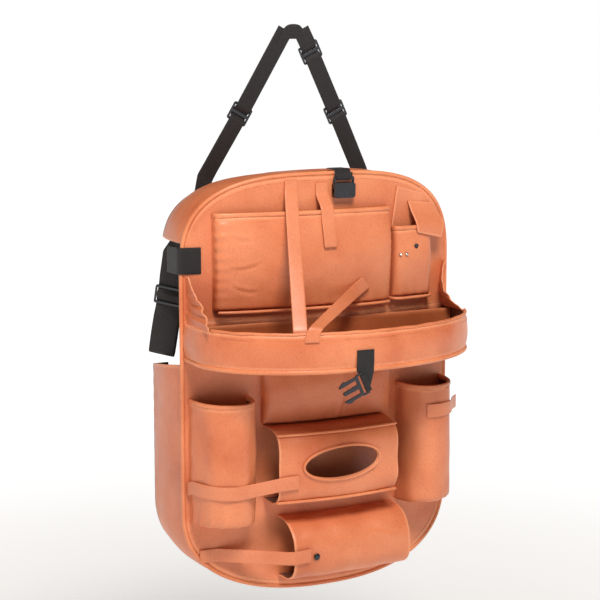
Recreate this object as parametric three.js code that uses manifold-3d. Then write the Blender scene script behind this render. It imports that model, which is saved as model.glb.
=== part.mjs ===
// Car seat back organizer: a bowed, gusseted leather body that pulls over the back of a car seat,
// with two upper pockets, an open D-shaped tray, a flat pocket, two bottle pockets, a tissue sleeve,
// an umbrella sleeve, black webbing to hang it by, and leather bands across the pockets.
// Millimetres, +Z up, the front faces -Y. Heights are measured from the lowest edge of the body,
// and depths from the rear face of the lining; the last lines move the origin to mid-height.

import * as THREE from 'three';
import { mergeVertices } from 'three/addons/utils/BufferGeometryUtils.js';
import Module from 'manifold-3d';

const wasm = await Module();
wasm.setup();

// Body
const bodyWidth = 430;
const bodyHeight = 610;
const bowDepth = 26;              // how far the middle of the front stands ahead of its side edges
const archSpring = 468;           // height where the top arch begins
const archPower = 3;              // squareness of the arch
const footSpring = 128;           // height where the bottom corners begin
const footPower = 2.5;
const liningThickness = 1.5;
const boardThickness = 3;
const leatherThickness = 2;
const clearance = 0.3;            // gap between pieces that touch
const pipingRadius = 3.2;

// Side and top gussets, which wrap round the seat
const gussetDepth = 115;
const gussetThickness = 2.5;
const gussetSwell = 5;            // how far a gusset bellies outwards in the middle of its depth
const upperGussetTaper = 14;      // how far the upper gusset draws in at its rear edge
const upperGussetEnd = 516;       // height of the upper gusset's lower ends
const lowerGussetEnd = 342;       // height of the lower gusset's upper ends
const lowerGussetSlope = 16;      // how much lower those ends are at the rear
const hemWidth = 24;
const hemThickness = 2;

// Upper pockets
const seamHeight = 404;           // where the upper and lower front panels meet, behind the tray
const tabletPocket = { left: -172, right: 102, bottom: 421, top: 552, depth: 17, belly: 7, wall: 2.4, power: 7 };
const phonePocket = { left: 106, right: 174, bottom: 425, top: 522, depth: 22, belly: 4, wall: 2.4, power: 5 };
const bindingHeight = 7;
const bindingExtra = 1.1;         // how much thicker a binding is than the wall it caps

// Tray
const trayHalfWidth = 210;
const trayBottom = 348;
const trayRimHeight = 46;
const trayRimThickness = 3.2;
const trayPipingRadius = 3.6;
const trayFloorThickness = 5;
const trayDepth = 147;            // from the tray's back wall to the front of its rim
const traySidePlane = 12;         // straight length of each side before the front curve
const trayPower = 2.05;
const trayBackWallThickness = 2.5;
const trayGussetRise = 74;        // how far the side gussets reach up the body
const trayGussetReach = 74;       // how far they reach forward along the rim

// Lower pockets
const flatPocket = { left: -102, right: 105, bottom: 252, top: 338, depth: 15, belly: 9, wall: 2.4, power: 4 };
const bottlePocket = { inner: 121, outer: 207, bottom: 112, top: 287, depth: 62, belly: 3, wall: 2.6, power: 2.3 };
const tissueSleeve = { left: -99, right: 91, bottom: 138, top: 250, depth: 55, belly: 7, wall: 2.6, power: 4.2 };
const tissueOpening = { x: -3, height: 199, halfWidth: 59, halfHeight: 22, piping: 2.2, tilt: 0.05 };
const umbrellaSleeve = { left: -76, right: 112, bottom: 20, top: 112, depth: 58, belly: 3, wall: 2.6, power: 2.5 };

// Webbing and its plastic fittings
const webbingWidth = 26;
const webbingThickness = 1.5;
const hangHeight = 813;           // height of the fold at the top of the hanging strap
const hangSpread = 130;           // half the distance between the strap's two ends
const hangLean = 32;              // how far the fold stands ahead of the rear hem
const crownWidth = 26;            // the flat stretch at the top of that fold
const crownSliderDrop = 37;        // from that fold down to the top slider
const hangSliderDistance = 108;   // from an end of the hanging strap up to its slider
const slider = { length: 28, bar: 4, middleBar: 5, thickness: 2.4, side: 3, slack: 0.6, corner: 3 };
const sideStrap = { top: 498, bottom: 345, forward: 72, rearward: 36, width: 38 };
const socket = { x: 25, top: 605, height: 22, width: 34, thickness: 9, wall: 1.7, loopHeight: 9, barHeight: 3 };
const plug = { length: 40, width: 32, tilt: 1.15, prong: 4.4, guide: 6.5 };
const plugTab = { x: -17, rise: 26 };
const bandWidth = 20;
const bandThickness = 1.6;
const snapRadius = 5;
const rivetRadius = 2.6;

// Derived places
const halfWidth = bodyWidth / 2;
const stackFront = -(liningThickness + boardThickness + leatherThickness + 2 * clearance);
const edgeY = stackFront + bowDepth;
const rearY = edgeY + gussetDepth;
const trayTop = trayBottom + 2 * trayPipingRadius + clearance + trayRimHeight;
const trayBackY = stackFront - clearance - trayBackWallThickness;

const leatherMaterial = () => new THREE.MeshStandardMaterial({ color: '#e27b4c', roughness: 0.5, metalness: 0 });
const pipingMaterial = () => new THREE.MeshStandardMaterial({ color: '#ea8a58', roughness: 0.45, metalness: 0 });
const webbingMaterial = () => new THREE.MeshStandardMaterial({ color: '#1d1a1b', roughness: 0.8, metalness: 0 });
const plasticMaterial = () => new THREE.MeshStandardMaterial({ color: '#14161a', roughness: 0.35, metalness: 0 });
const liningMaterial = () => new THREE.MeshStandardMaterial({ color: '#2a2624', roughness: 0.9, metalness: 0 });
const boardMaterial = () => new THREE.MeshStandardMaterial({ color: '#8d8a84', roughness: 0.7, metalness: 0 });
const metalMaterial = () => new THREE.MeshStandardMaterial({ color: '#d8d5cf', roughness: 0.25, metalness: 1 });

const organizer = new THREE.Group();

function addPiece(name, geometry, material) {
  const mesh = new THREE.Mesh(geometry, material);
  mesh.name = name;
  organizer.add(mesh);
  return mesh;
}

// Meshes and solids

function signedVolume(points, triangles) {
  let sum = 0;
  for (const [a, b, c] of triangles) {
    sum += points[a].dot(new THREE.Vector3().crossVectors(points[b], points[c]));
  }
  return sum / 6;
}

function closedGeometry(points, triangles) {
  const inward = signedVolume(points, triangles) < 0;
  const faces = inward ? triangles.map(([a, b, c]) => [a, c, b]) : triangles;
  const geometry = new THREE.BufferGeometry();
  geometry.setAttribute('position', new THREE.Float32BufferAttribute(points.flatMap((p) => p.toArray()), 3));
  geometry.setIndex(faces.flat());
  return mergeVertices(geometry, 1e-4);
}

// A grid of points, from a function of two parameters that each run from 0 to 1.
function grid(stepsU, stepsV, pointAt) {
  return Array.from({ length: stepsU + 1 }, (_, i) =>
    Array.from({ length: stepsV + 1 }, (_, j) => pointAt(i / stepsU, j / stepsV)));
}

// A sheet with a thickness: two grids of points joined round their borders.
function sheetSolid(front, back) {
  const rows = front.length;
  const columns = front[0].length;
  const points = [...front.flat(), ...back.flat()];
  const half = rows * columns;
  const at = (side, i, j) => side * half + i * columns + j;
  const triangles = [];
  const quad = (a, b, c, d) => triangles.push([a, b, c], [a, c, d]);
  for (let i = 0; i + 1 < rows; i += 1) {
    for (let j = 0; j + 1 < columns; j += 1) {
      quad(at(0, i, j), at(0, i + 1, j), at(0, i + 1, j + 1), at(0, i, j + 1));
      quad(at(1, i, j), at(1, i, j + 1), at(1, i + 1, j + 1), at(1, i + 1, j));
    }
    quad(at(0, i + 1, 0), at(0, i, 0), at(1, i, 0), at(1, i + 1, 0));
    quad(at(0, i, columns - 1), at(0, i + 1, columns - 1), at(1, i + 1, columns - 1), at(1, i, columns - 1));
  }
  for (let j = 0; j + 1 < columns; j += 1) {
    quad(at(0, 0, j), at(0, 0, j + 1), at(1, 0, j + 1), at(1, 0, j));
    quad(at(0, rows - 1, j + 1), at(0, rows - 1, j), at(1, rows - 1, j), at(1, rows - 1, j + 1));
  }
  return closedGeometry(points, triangles);
}

// A loft through closed rings of equal length; an open loft is capped at both ends.
function ringLoft(rings, closedAlong = false) {
  const count = rings[0].length;
  const points = rings.flat();
  const triangles = [];
  const joins = closedAlong ? rings.length : rings.length - 1;
  for (let i = 0; i < joins; i += 1) {
    const next = (i + 1) % rings.length;
    for (let k = 0; k < count; k += 1) {
      const k2 = (k + 1) % count;
      const a = i * count + k;
      const b = i * count + k2;
      const c = next * count + k2;
      const d = next * count + k;
      triangles.push([a, b, c], [a, c, d]);
    }
  }
  if (!closedAlong) {
    const last = (rings.length - 1) * count;
    for (const [a, b, c] of capTriangles(rings[0])) triangles.push([a, c, b]);
    for (const [a, b, c] of capTriangles(rings[rings.length - 1])) triangles.push([last + a, last + b, last + c]);
  }
  return closedGeometry(points, triangles);
}

// Triangles that fill a flat ring, worked out in the ring's own plane.
function capTriangles(ring) {
  const normal = new THREE.Vector3();
  ring.forEach((p, k) => normal.add(new THREE.Vector3().crossVectors(p, ring[(k + 1) % ring.length])));
  normal.normalize();
  const across = new THREE.Vector3().subVectors(ring[1], ring[0]).normalize();
  const up = new THREE.Vector3().crossVectors(normal, across);
  const flat = ring.map((p) => new THREE.Vector2(p.dot(across), p.dot(up)));
  return THREE.ShapeUtils.triangulateShape(flat, []);
}

function toManifold(geometry) {
  const bare = geometry.clone();
  bare.deleteAttribute('normal');
  bare.deleteAttribute('uv');
  const merged = mergeVertices(bare, 1e-4);
  return new wasm.Manifold(new wasm.Mesh({
    numProp: 3,
    vertProperties: new Float32Array(merged.attributes.position.array),
    triVerts: new Uint32Array(merged.index.array),
  }));
}

function fromManifold(manifold) {
  const mesh = manifold.getMesh();
  const geometry = new THREE.BufferGeometry();
  geometry.setAttribute('position', new THREE.Float32BufferAttribute(mesh.vertProperties, 3));
  geometry.setIndex([...mesh.triVerts]);
  return geometry;
}

const cut = (geometry, tool) => fromManifold(toManifold(geometry).subtract(toManifold(tool)));

// Outlines and surfaces of the body

const power = (value, exponent) => Math.sign(value) * Math.abs(value) ** exponent;

// Depth of the bowed front face at x, and of anything that stands proud of it.
function bowY(x, proud = 0) {
  return stackFront + bowDepth * Math.min(1, (x / halfWidth) ** 2) - proud;
}

function outlineTop(x, inset = 0) {
  const share = Math.min(1, Math.abs(x) / (halfWidth - inset));
  return archSpring + (bodyHeight - inset - archSpring) * (1 - share ** archPower) ** (1 / archPower);
}

function outlineBottom(x, inset = 0) {
  const share = Math.min(1, Math.abs(x) / (halfWidth - inset));
  return footSpring - (footSpring - inset) * (1 - share ** footPower) ** (1 / footPower);
}

// The body's outline as points (x, z), clockwise from the middle of the top, inset by a distance.
function bodyOutline(steps, inset = 0) {
  const points = [];
  const width = halfWidth - inset;
  const corner = 12;
  for (let i = 0; i <= corner; i += 1) {
    const t = (i / corner) * Math.PI / 2;
    points.push(new THREE.Vector2(width * Math.sin(t) ** (2 / archPower),
      archSpring + (bodyHeight - inset - archSpring) * Math.cos(t) ** (2 / archPower)));
  }
  for (let i = 0; i <= corner; i += 1) {
    const t = (i / corner) * Math.PI / 2;
    points.push(new THREE.Vector2(width * Math.cos(t) ** (2 / footPower),
      footSpring - (footSpring - inset) * Math.sin(t) ** (2 / footPower)));
  }
  const mirrored = points.slice(1, -1).reverse().map((p) => new THREE.Vector2(-p.x, p.y));
  return resample([...points, ...mirrored], steps, true);
}

// Evenly spaced points along a polyline; a closed one doesn't repeat its first point.
function resample(points, steps, closed = false) {
  const line = closed ? [...points, points[0]] : points;
  const lengths = [0];
  for (let i = 1; i < line.length; i += 1) lengths.push(lengths[i - 1] + line[i].distanceTo(line[i - 1]));
  const total = lengths[lengths.length - 1];
  const result = [];
  let k = 1;
  for (let i = 0; i < (closed ? steps : steps + 1); i += 1) {
    const target = (i / steps) * total;
    while (k < line.length - 1 && lengths[k] < target) k += 1;
    const share = (target - lengths[k - 1]) / (lengths[k] - lengths[k - 1] || 1);
    result.push(line[k - 1].clone().lerp(line[k], Math.min(1, Math.max(0, share))));
  }
  return result;
}

// A round tube along a path; its frame is carried from step to step without twist.
function tube(path, radius, sides, closed = false) {
  const count = path.length;
  const tangentAt = (i) => {
    const before = closed ? path[(i - 1 + count) % count] : path[Math.max(0, i - 1)];
    const after = closed ? path[(i + 1) % count] : path[Math.min(count - 1, i + 1)];
    return new THREE.Vector3().subVectors(after, before).normalize();
  };
  const start = tangentAt(0);
  let side = Math.abs(start.y) < Math.abs(start.z) ? new THREE.Vector3(0, 1, 0) : new THREE.Vector3(0, 0, 1);
  const rings = path.map((point, i) => {
    const tangent = tangentAt(i);
    side = side.clone().addScaledVector(tangent, -side.dot(tangent)).normalize();
    const up = new THREE.Vector3().crossVectors(tangent, side);
    return Array.from({ length: sides }, (_, k) => {
      const angle = ((k + 0.5) / sides) * 2 * Math.PI;
      return point.clone().addScaledVector(side, radius * Math.cos(angle)).addScaledVector(up, radius * Math.sin(angle));
    });
  });
  return ringLoft(rings, closed);
}

// A flat strip along a path. Each step gives its middle, and half its width as a vector.
function strip(steps, thickness) {
  const rings = steps.map(({ middle, half }, i) => {
    const before = steps[Math.max(0, i - 1)].middle;
    const after = steps[Math.min(steps.length - 1, i + 1)].middle;
    const along = new THREE.Vector3().subVectors(after, before);
    const normal = new THREE.Vector3().crossVectors(along, half).normalize().multiplyScalar(thickness / 2);
    const left = middle.clone().sub(half);
    const right = middle.clone().add(half);
    return [left.clone().add(normal), right.clone().add(normal), right.clone().sub(normal), left.clone().sub(normal)];
  });
  return ringLoft(rings);
}

// Body

const columnSteps = 19;

function bowedPanel(backOffset, thickness, inset, lowAt, highAt) {
  const reach = halfWidth - inset;
  const layer = (offset) => grid(columnSteps, 1, (u, v) => {
    const x = reach * Math.sin((u - 0.5) * Math.PI);
    const low = lowAt(x);
    return new THREE.Vector3(x, bowY(x) - stackFront - offset, low + (highAt(x) - low) * v);
  });
  return sheetSolid(layer(backOffset + thickness), layer(backOffset));
}

const edgeInset = pipingRadius + clearance + 0.5;
const seamGap = clearance / 2;
const pipingY = (x) => bowY(x) - stackFront / 2 - 2;   // the piping's middle, beside the edge of the stack
const bottomEdge = (x) => outlineBottom(x, edgeInset);
const topEdge = (x) => outlineTop(x, edgeInset);

function addBody() {
  const boardBack = liningThickness + clearance;
  const leatherBack = boardBack + boardThickness + clearance;
  const above = (x) => Math.max(bottomEdge(x), seamHeight + seamGap);
  addPiece('back_lining', bowedPanel(0, liningThickness, edgeInset, bottomEdge, topEdge), liningMaterial());
  addPiece('stiffener_board',
    bowedPanel(boardBack, boardThickness, edgeInset + 4, (x) => bottomEdge(x) + 4, (x) => topEdge(x) - 4), boardMaterial());
  addPiece('upper_front_panel', bowedPanel(leatherBack, leatherThickness, edgeInset, above, topEdge), leatherMaterial());
  addPiece('lower_front_panel',
    bowedPanel(leatherBack, leatherThickness, edgeInset, bottomEdge, () => seamHeight - seamGap), leatherMaterial());
  const path = bodyOutline(72).map((p) => new THREE.Vector3(p.x, pipingY(p.x), p.y));
  addPiece('edge_piping', tube(path, pipingRadius, 6, true), pipingMaterial());
}

// A gusset is a band behind the piping, from one end of a stretch of the outline to the other.
const gussetFrontGap = pipingRadius + clearance + 0.4;
const gussetColumns = 3;

function outlineStretch(steps, isInside, fromTop) {
  const outline = bodyOutline(400);
  const inside = outline.filter(isInside);
  const ordered = inside.sort((a, b) => turnOf(a, fromTop) - turnOf(b, fromTop));
  return resample(ordered, steps);
}

function turnOf(point, fromTop) {
  const sign = fromTop ? 1 : -1;
  return Math.atan2(point.x, sign * (point.y - bodyHeight / 2));
}

function gussetBand(stretch, rear, taper, endShift) {
  const steps = stretch.length - 1;
  const centre = new THREE.Vector2(0, bodyHeight / 2);
  const outwardAt = stretch.map((p, i) => {
    const before = stretch[Math.max(0, i - 1)];
    const after = stretch[Math.min(steps, i + 1)];
    const normal = new THREE.Vector2(after.y - before.y, before.x - after.x).normalize();
    return normal.dot(p.clone().sub(centre)) < 0 ? normal.negate() : normal;
  });
  const surface = (inward) => grid(steps, gussetColumns, (u, v) => {
    const i = Math.round(u * steps);
    const p = stretch[i];
    const outward = outwardAt[i];
    const front = pipingY(p.x) + gussetFrontGap;
    const y = front + (rear - front) * v;
    const offset = gussetSwell * Math.sin(Math.PI * v) - taper * v ** 1.5 - inward;
    const shift = endShift * v * Math.abs(2 * u - 1) ** 8;
    return new THREE.Vector3(p.x + outward.x * offset, y, p.y + outward.y * offset - shift);
  });
  return { outer: surface(0), inner: surface(gussetThickness) };
}

function hemBand(gusset) {
  const steps = gusset.inner.length - 1;
  const rear = gusset.outer[0][gussetColumns].y + clearance;
  const layer = (y) => grid(steps, 1, (u, v) => {
    const i = Math.round(u * steps);
    const outer = gusset.outer[i][gussetColumns];
    const inner = gusset.inner[i][gussetColumns];
    const inward = new THREE.Vector3().subVectors(inner, outer).normalize().multiplyScalar(hemWidth * v);
    return new THREE.Vector3(outer.x + inward.x, y, outer.z + inward.z);
  });
  return sheetSolid(layer(rear), layer(rear + hemThickness));
}

function addGussets() {
  const upper = gussetBand(outlineStretch(28, (p) => p.y > upperGussetEnd, true),
    rearY - webbingThickness - clearance, upperGussetTaper, 0);
  addPiece('upper_gusset', sheetSolid(upper.outer, upper.inner), leatherMaterial());
  addPiece('upper_back_hem', hemBand(upper), webbingMaterial());
  const lower = gussetBand(outlineStretch(36, (p) => p.y < lowerGussetEnd, false), rearY, 0, lowerGussetSlope);
  addPiece('lower_gusset', sheetSolid(lower.outer, lower.inner), leatherMaterial());
  addPiece('lower_back_hem', hemBand(lower), webbingMaterial());
}

// Pockets: a cup that is open at its top and at its back, where the front panel closes it.

const pocketColumns = 14;         // facets round the front of a pocket

function planSection(pocket, height, wall, backProud, steps) {
  const share = (height - pocket.bottom) / (pocket.top - pocket.bottom);
  const swell = pocket.belly * Math.sin(Math.PI * Math.min(1, Math.max(0, share)));
  const middle = (pocket.left + pocket.right) / 2;
  const reach = (pocket.right - pocket.left) / 2 - wall;
  const depth = pocket.depth + swell - wall;
  const front = Array.from({ length: steps + 1 }, (_, i) => {
    const t = Math.PI * (1 - i / steps);
    const x = middle + reach * power(Math.cos(t), 2 / pocket.power);
    return new THREE.Vector3(x, bowY(x, clearance + depth * Math.sin(t) ** (2 / pocket.power)), height);
  });
  front[0].y = bowY(front[0].x, backProud);
  front[steps].y = bowY(front[steps].x, backProud);
  const backSteps = Math.ceil((pocket.right - pocket.left) / 34);
  const back = Array.from({ length: backSteps - 1 }, (_, i) => {
    const x = middle + reach * (1 - (2 * (i + 1)) / backSteps);
    return new THREE.Vector3(x, bowY(x, backProud), height);
  });
  return [...front, ...back];
}

function pocketCup(pocket, steps = pocketColumns, levels = 4) {
  const outerRings = [];
  const innerRings = [];
  const overCut = 2;
  for (let k = 0; k <= levels; k += 1) {
    const share = k / levels;
    outerRings.push(planSection(pocket, pocket.bottom + (pocket.top - pocket.bottom) * share, 0, clearance, steps));
    const innerBottom = pocket.bottom + pocket.wall;
    const innerTop = pocket.top + (k === levels ? overCut : 0);
    innerRings.push(planSection(pocket, innerBottom + (innerTop - innerBottom) * share, pocket.wall, -overCut, steps));
  }
  return cut(ringLoft(outerRings), ringLoft(innerRings));
}

// A folded strip of leather that caps the top edge of a pocket's wall.
function pocketBinding(pocket, steps = pocketColumns) {
  const height = pocket.top + clearance;
  const wall = (extra, z) => planSection(pocket, pocket.top, extra, clearance, steps).slice(0, steps + 1)
    .map((p) => new THREE.Vector3(p.x, p.y, z));
  const layer = (extra) => {
    const low = wall(extra, height);
    const high = wall(extra, height + bindingHeight);
    return low.map((p, i) => [p, high[i]]);
  };
  return sheetSolid(layer(-bindingExtra), layer(pocket.wall + bindingExtra));
}

function addPocket(name, pocket, steps, levels) {
  addPiece(name, pocketCup(pocket, steps, levels), leatherMaterial());
  addPiece(`${name}_binding`, pocketBinding(pocket, steps), pipingMaterial());
}

function addPockets() {
  addPocket('tablet_pocket', tabletPocket, pocketColumns, 4);
  addPocket('phone_pocket', phonePocket, 12, 3);
  addPiece('flat_pocket', pocketCup(flatPocket, 12, 4), leatherMaterial());
  const { inner, outer, ...bottle } = bottlePocket;
  addPocket('left_bottle_pocket', { ...bottle, left: -outer, right: -inner }, pocketColumns, 4);
  addPocket('right_bottle_pocket', { ...bottle, left: inner, right: outer }, pocketColumns, 4);
}

// Sleeves: a sheet folded forward off the panel and back to it, open at its left and right ends.

const sleeveSteps = 16;

function sleeveSurface(sleeve, wall) {
  const middle = (sleeve.bottom + sleeve.top) / 2;
  const reach = (sleeve.top - sleeve.bottom) / 2 - wall;
  return grid(6, sleeveSteps, (u, v) => {
    const x = sleeve.left + (sleeve.right - sleeve.left) * u;
    const t = Math.PI * v;
    const swell = sleeve.belly * Math.sin(Math.PI * u);
    const depth = (sleeve.depth + swell - wall) * Math.sin(t) ** (2 / sleeve.power);
    const foot = bowY(x, clearance);
    const flatFront = bowY(0, clearance) * 0.6 + foot * 0.4;
    const share = Math.min(1, depth / sleeve.depth);
    return new THREE.Vector3(x, foot * (1 - share) + flatFront * share - depth,
      middle + reach * power(Math.cos(t), 2 / sleeve.power));
  });
}

const sleeveSolid = (sleeve) => sheetSolid(sleeveSurface(sleeve, 0), sleeveSurface(sleeve, sleeve.wall));

function sleeveFrontY(sleeve, x) {
  const u = (x - sleeve.left) / (sleeve.right - sleeve.left);
  const foot = bowY(x, clearance);
  const flatFront = bowY(0, clearance) * 0.6 + foot * 0.4;
  return flatFront - sleeve.depth - sleeve.belly * Math.sin(Math.PI * u);
}

function tissueOpeningPoint(angle, grow = 0) {
  const { x, height, halfWidth: a, halfHeight: b, tilt } = tissueOpening;
  const across = (a + grow) * Math.cos(angle);
  const up = (b + grow) * Math.sin(angle);
  return new THREE.Vector2(x + across - up * tilt, height + up + across * tilt);
}

function addSleeves() {
  const ringSteps = 28;
  const outline = Array.from({ length: ringSteps }, (_, i) => tissueOpeningPoint((i / ringSteps) * 2 * Math.PI));
  const cutter = new THREE.ExtrudeGeometry(new THREE.Shape(outline), { depth: 90, bevelEnabled: false });
  cutter.rotateX(Math.PI / 2);
  cutter.translate(0, stackFront - tissueSleeve.depth + 40, 0);
  addPiece('tissue_sleeve', cut(sleeveSolid(tissueSleeve), cutter), leatherMaterial());
  const lift = tissueOpening.piping + clearance;
  const ring = Array.from({ length: ringSteps }, (_, i) => {
    const p = tissueOpeningPoint((i / ringSteps) * 2 * Math.PI, tissueOpening.piping);
    return new THREE.Vector3(p.x, sleeveFrontY(tissueSleeve, p.x) - lift, p.y);
  });
  addPiece('tissue_opening_piping', tube(ring, tissueOpening.piping, 6, true), pipingMaterial());
  addPiece('umbrella_sleeve', sleeveSolid(umbrellaSleeve), leatherMaterial());
}

// Tray

// The tray's outline as points (x, y) from its left rear corner round the front to the right rear corner.
function trayOutline(steps, inset = 0) {
  const reach = trayHalfWidth - inset;
  const curveStart = trayBackY - traySidePlane;
  const rear = edgeY - pipingRadius + 0.6;
  const points = [new THREE.Vector2(-reach, rear)];
  const arc = 24;
  for (let i = 0; i <= arc; i += 1) {
    const t = (i / arc) * Math.PI;
    points.push(new THREE.Vector2(-reach * power(Math.cos(t), 2 / trayPower),
      curveStart - (trayDepth - traySidePlane - inset) * Math.sin(t) ** (2 / trayPower)));
  }
  points.push(new THREE.Vector2(reach, rear));
  return resample(points, steps);
}

function wallOnTray(steps, low, high, outset, thickness, swell = 0) {
  const layer = (inset, sway) => {
    const outline = trayOutline(steps, inset);
    return grid(steps, swell ? 3 : 1, (u, v) => {
      const p = outline[Math.round(u * steps)];
      const bulge = 1 + (sway * Math.sin(Math.PI * v)) / trayHalfWidth;
      return new THREE.Vector3(p.x * bulge, p.y < trayBackY ? trayBackY + (p.y - trayBackY) * bulge : p.y,
        low + (high - low) * v);
    });
  };
  return sheetSolid(layer(-outset, swell), layer(-outset + thickness, swell));
}

function addTray() {
  const pipingHeight = trayBottom + trayPipingRadius;
  const rimBottom = trayBottom + 2 * trayPipingRadius + clearance;
  const halfRim = trayRimThickness / 2;
  addPiece('tray_rim', wallOnTray(34, rimBottom, trayTop, halfRim, trayRimThickness, 3), leatherMaterial());
  const piping = trayOutline(44).map((p) => new THREE.Vector3(p.x, p.y, pipingHeight));
  addPiece('tray_piping', tube(piping, trayPipingRadius, 6), pipingMaterial());

  const floorInset = trayPipingRadius + clearance + 0.6;
  const floorLine = trayOutline(36, floorInset);
  floorLine[0].y = edgeY - pipingRadius;
  floorLine[36].y = edgeY - pipingRadius;
  const backSteps = 14;
  const back = Array.from({ length: backSteps - 1 }, (_, i) => {
    const x = floorLine[36].x * (1 - (2 * (i + 1)) / backSteps);
    return new THREE.Vector2(x, bowY(x, 2 * clearance));
  });
  const floorBottom = pipingHeight - trayFloorThickness / 2;
  const level = (z) => [...floorLine, ...back].map((p) => new THREE.Vector3(p.x, p.y, z));
  addPiece('tray_floor', ringLoft([level(floorBottom), level(floorBottom + trayFloorThickness)]), leatherMaterial());

  const backWallBottom = floorBottom + trayFloorThickness + clearance;
  const wallReach = trayHalfWidth - halfRim - clearance - 1;
  const backWall = (y) => grid(1, 1, (u, v) =>
    new THREE.Vector3(wallReach * (2 * u - 1), y, backWallBottom + (trayTop - 2 - backWallBottom) * v));
  addPiece('tray_back_wall', sheetSolid(backWall(trayBackY), backWall(trayBackY + trayBackWallThickness)), leatherMaterial());
  addRimBinding();
  addTrayGusset('left_tray_gusset', -1, 2, 1);
  addTrayGusset('right_tray_gusset', 1, 16, 0.7);
}

// The rolled top edge of the rim, in front of the two side gussets.
function addRimBinding() {
  const forward = edgeY - trayGussetReach - 4;
  const outline = trayOutline(80).filter((p) => p.y < forward);
  const path = resample(outline, 36).map((p) => new THREE.Vector3(p.x, p.y, trayTop + clearance + 2.4));
  addPiece('tray_rim_binding', tube(path, 2.4, 6), pipingMaterial());
}

// A gathered web between the side of the body and the tray's rim.
function addTrayGusset(name, side, foldIn, spread) {
  const folds = 4.5;
  const foldDepth = 3.2;
  const low = trayTop + clearance;
  const layer = (inset) => grid(12, 3, (u, v) => {
    const height = low + (trayGussetRise - 6) * u;
    const reach = spread * trayGussetReach * (1 - u) ** 1.3 + 9;
    const wave = foldDepth * Math.sin(folds * 2 * Math.PI * (u + 0.12 * v)) * Math.sin(Math.PI * Math.min(1, u * 1.4)) * (0.35 + 0.65 * v);
    const x = trayHalfWidth - Math.abs(wave) - foldIn * 4 * u * (1 - u) * (0.3 + 0.7 * v) - inset;
    return new THREE.Vector3(side * x, Math.min(edgeY - 3, bowY(x, 1)) - reach * v, height);
  });
  addPiece(name, sheetSolid(layer(0), layer(leatherThickness)), leatherMaterial());
}

// Frames for webbing: along it, across it, and out of its face.

function webbingFrame(origin, along, across) {
  const alongUnit = along.clone().normalize();
  const acrossUnit = across.clone().addScaledVector(alongUnit, -across.dot(alongUnit)).normalize();
  return { origin, along: alongUnit, across: acrossUnit, out: new THREE.Vector3().crossVectors(alongUnit, acrossUnit) };
}

const inFrame = (frame, distance, out) =>
  frame.origin.clone().addScaledVector(frame.along, distance).addScaledVector(frame.out, out);

const webbingSteps = (frame, places, width = webbingWidth) => places.map(([distance, out]) =>
  ({ middle: inFrame(frame, distance, out), half: frame.across.clone().multiplyScalar(width / 2) }));

function placeInFrame(geometry, frame, distance) {
  const matrix = new THREE.Matrix4().makeBasis(frame.across, frame.along, frame.out.clone().negate());
  matrix.setPosition(inFrame(frame, distance, 0));
  return geometry.applyMatrix4(matrix);
}

function roundedRectangle(shape, width, low, high, corner) {
  const reach = width / 2 - corner;
  shape.moveTo(reach, low);
  shape.absarc(reach, low + corner, corner, -Math.PI / 2, 0, false);
  shape.absarc(reach, high - corner, corner, 0, Math.PI / 2, false);
  shape.absarc(-reach, high - corner, corner, Math.PI / 2, Math.PI, false);
  shape.absarc(-reach, low + corner, corner, Math.PI, 1.5 * Math.PI, false);
  return shape;
}

const rectangle = (width, low, high) => new THREE.Path([[-width, low], [width, low], [width, high], [-width, high]]
  .map(([x, y]) => new THREE.Vector2(x / 2, y)));

// How far webbing runs from the middle plane of a bar that it passes in front of or behind.
const passOut = slider.thickness / 2 + webbingThickness / 2 + clearance + 0.05;

// Places along webbing that goes behind a slider's end bars and in front of its middle bar.
function throughSlider(centre) {
  const beyond = 0.8;
  const endBar = slider.length / 2 - slider.bar - beyond;
  const middle = slider.middleBar / 2 + beyond;
  const clear = slider.length / 2 + 1.5;
  return [[centre - clear, -passOut], [centre - endBar, -passOut], [centre - middle, passOut],
    [centre + middle, passOut], [centre + endBar, -passOut], [centre + clear, -passOut]];
}

// Places along webbing that goes behind a bar, turns through the slot beyond it and comes back in front.
function roundBar(barEnd, reachBack, reachFront) {
  return [[barEnd - reachBack, -passOut], [barEnd + 0.45, -passOut], [barEnd + 2.7, 0],
    [barEnd + 0.45, passOut], [barEnd - reachFront, passOut]];
}

function addSlider(name, frame, distance, width = webbingWidth) {
  const slotWidth = width + 2 * slider.slack;
  const half = slider.length / 2;
  const outline = roundedRectangle(new THREE.Shape(), slotWidth + 2 * slider.side, -half, half, slider.corner);
  for (const side of [-1, 1]) {
    const near = side * (slider.middleBar / 2);
    const far = side * (half - slider.bar);
    outline.holes.push(rectangle(slotWidth, near, far));
  }
  const geometry = new THREE.ExtrudeGeometry(outline, { depth: slider.thickness, bevelEnabled: false, curveSegments: 2 });
  geometry.translate(0, 0, -slider.thickness / 2);
  addPiece(name, placeInFrame(geometry, frame, distance), plasticMaterial());
}

// Hanging strap: up one side, over a flat fold and down the other side, through three sliders.

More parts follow.
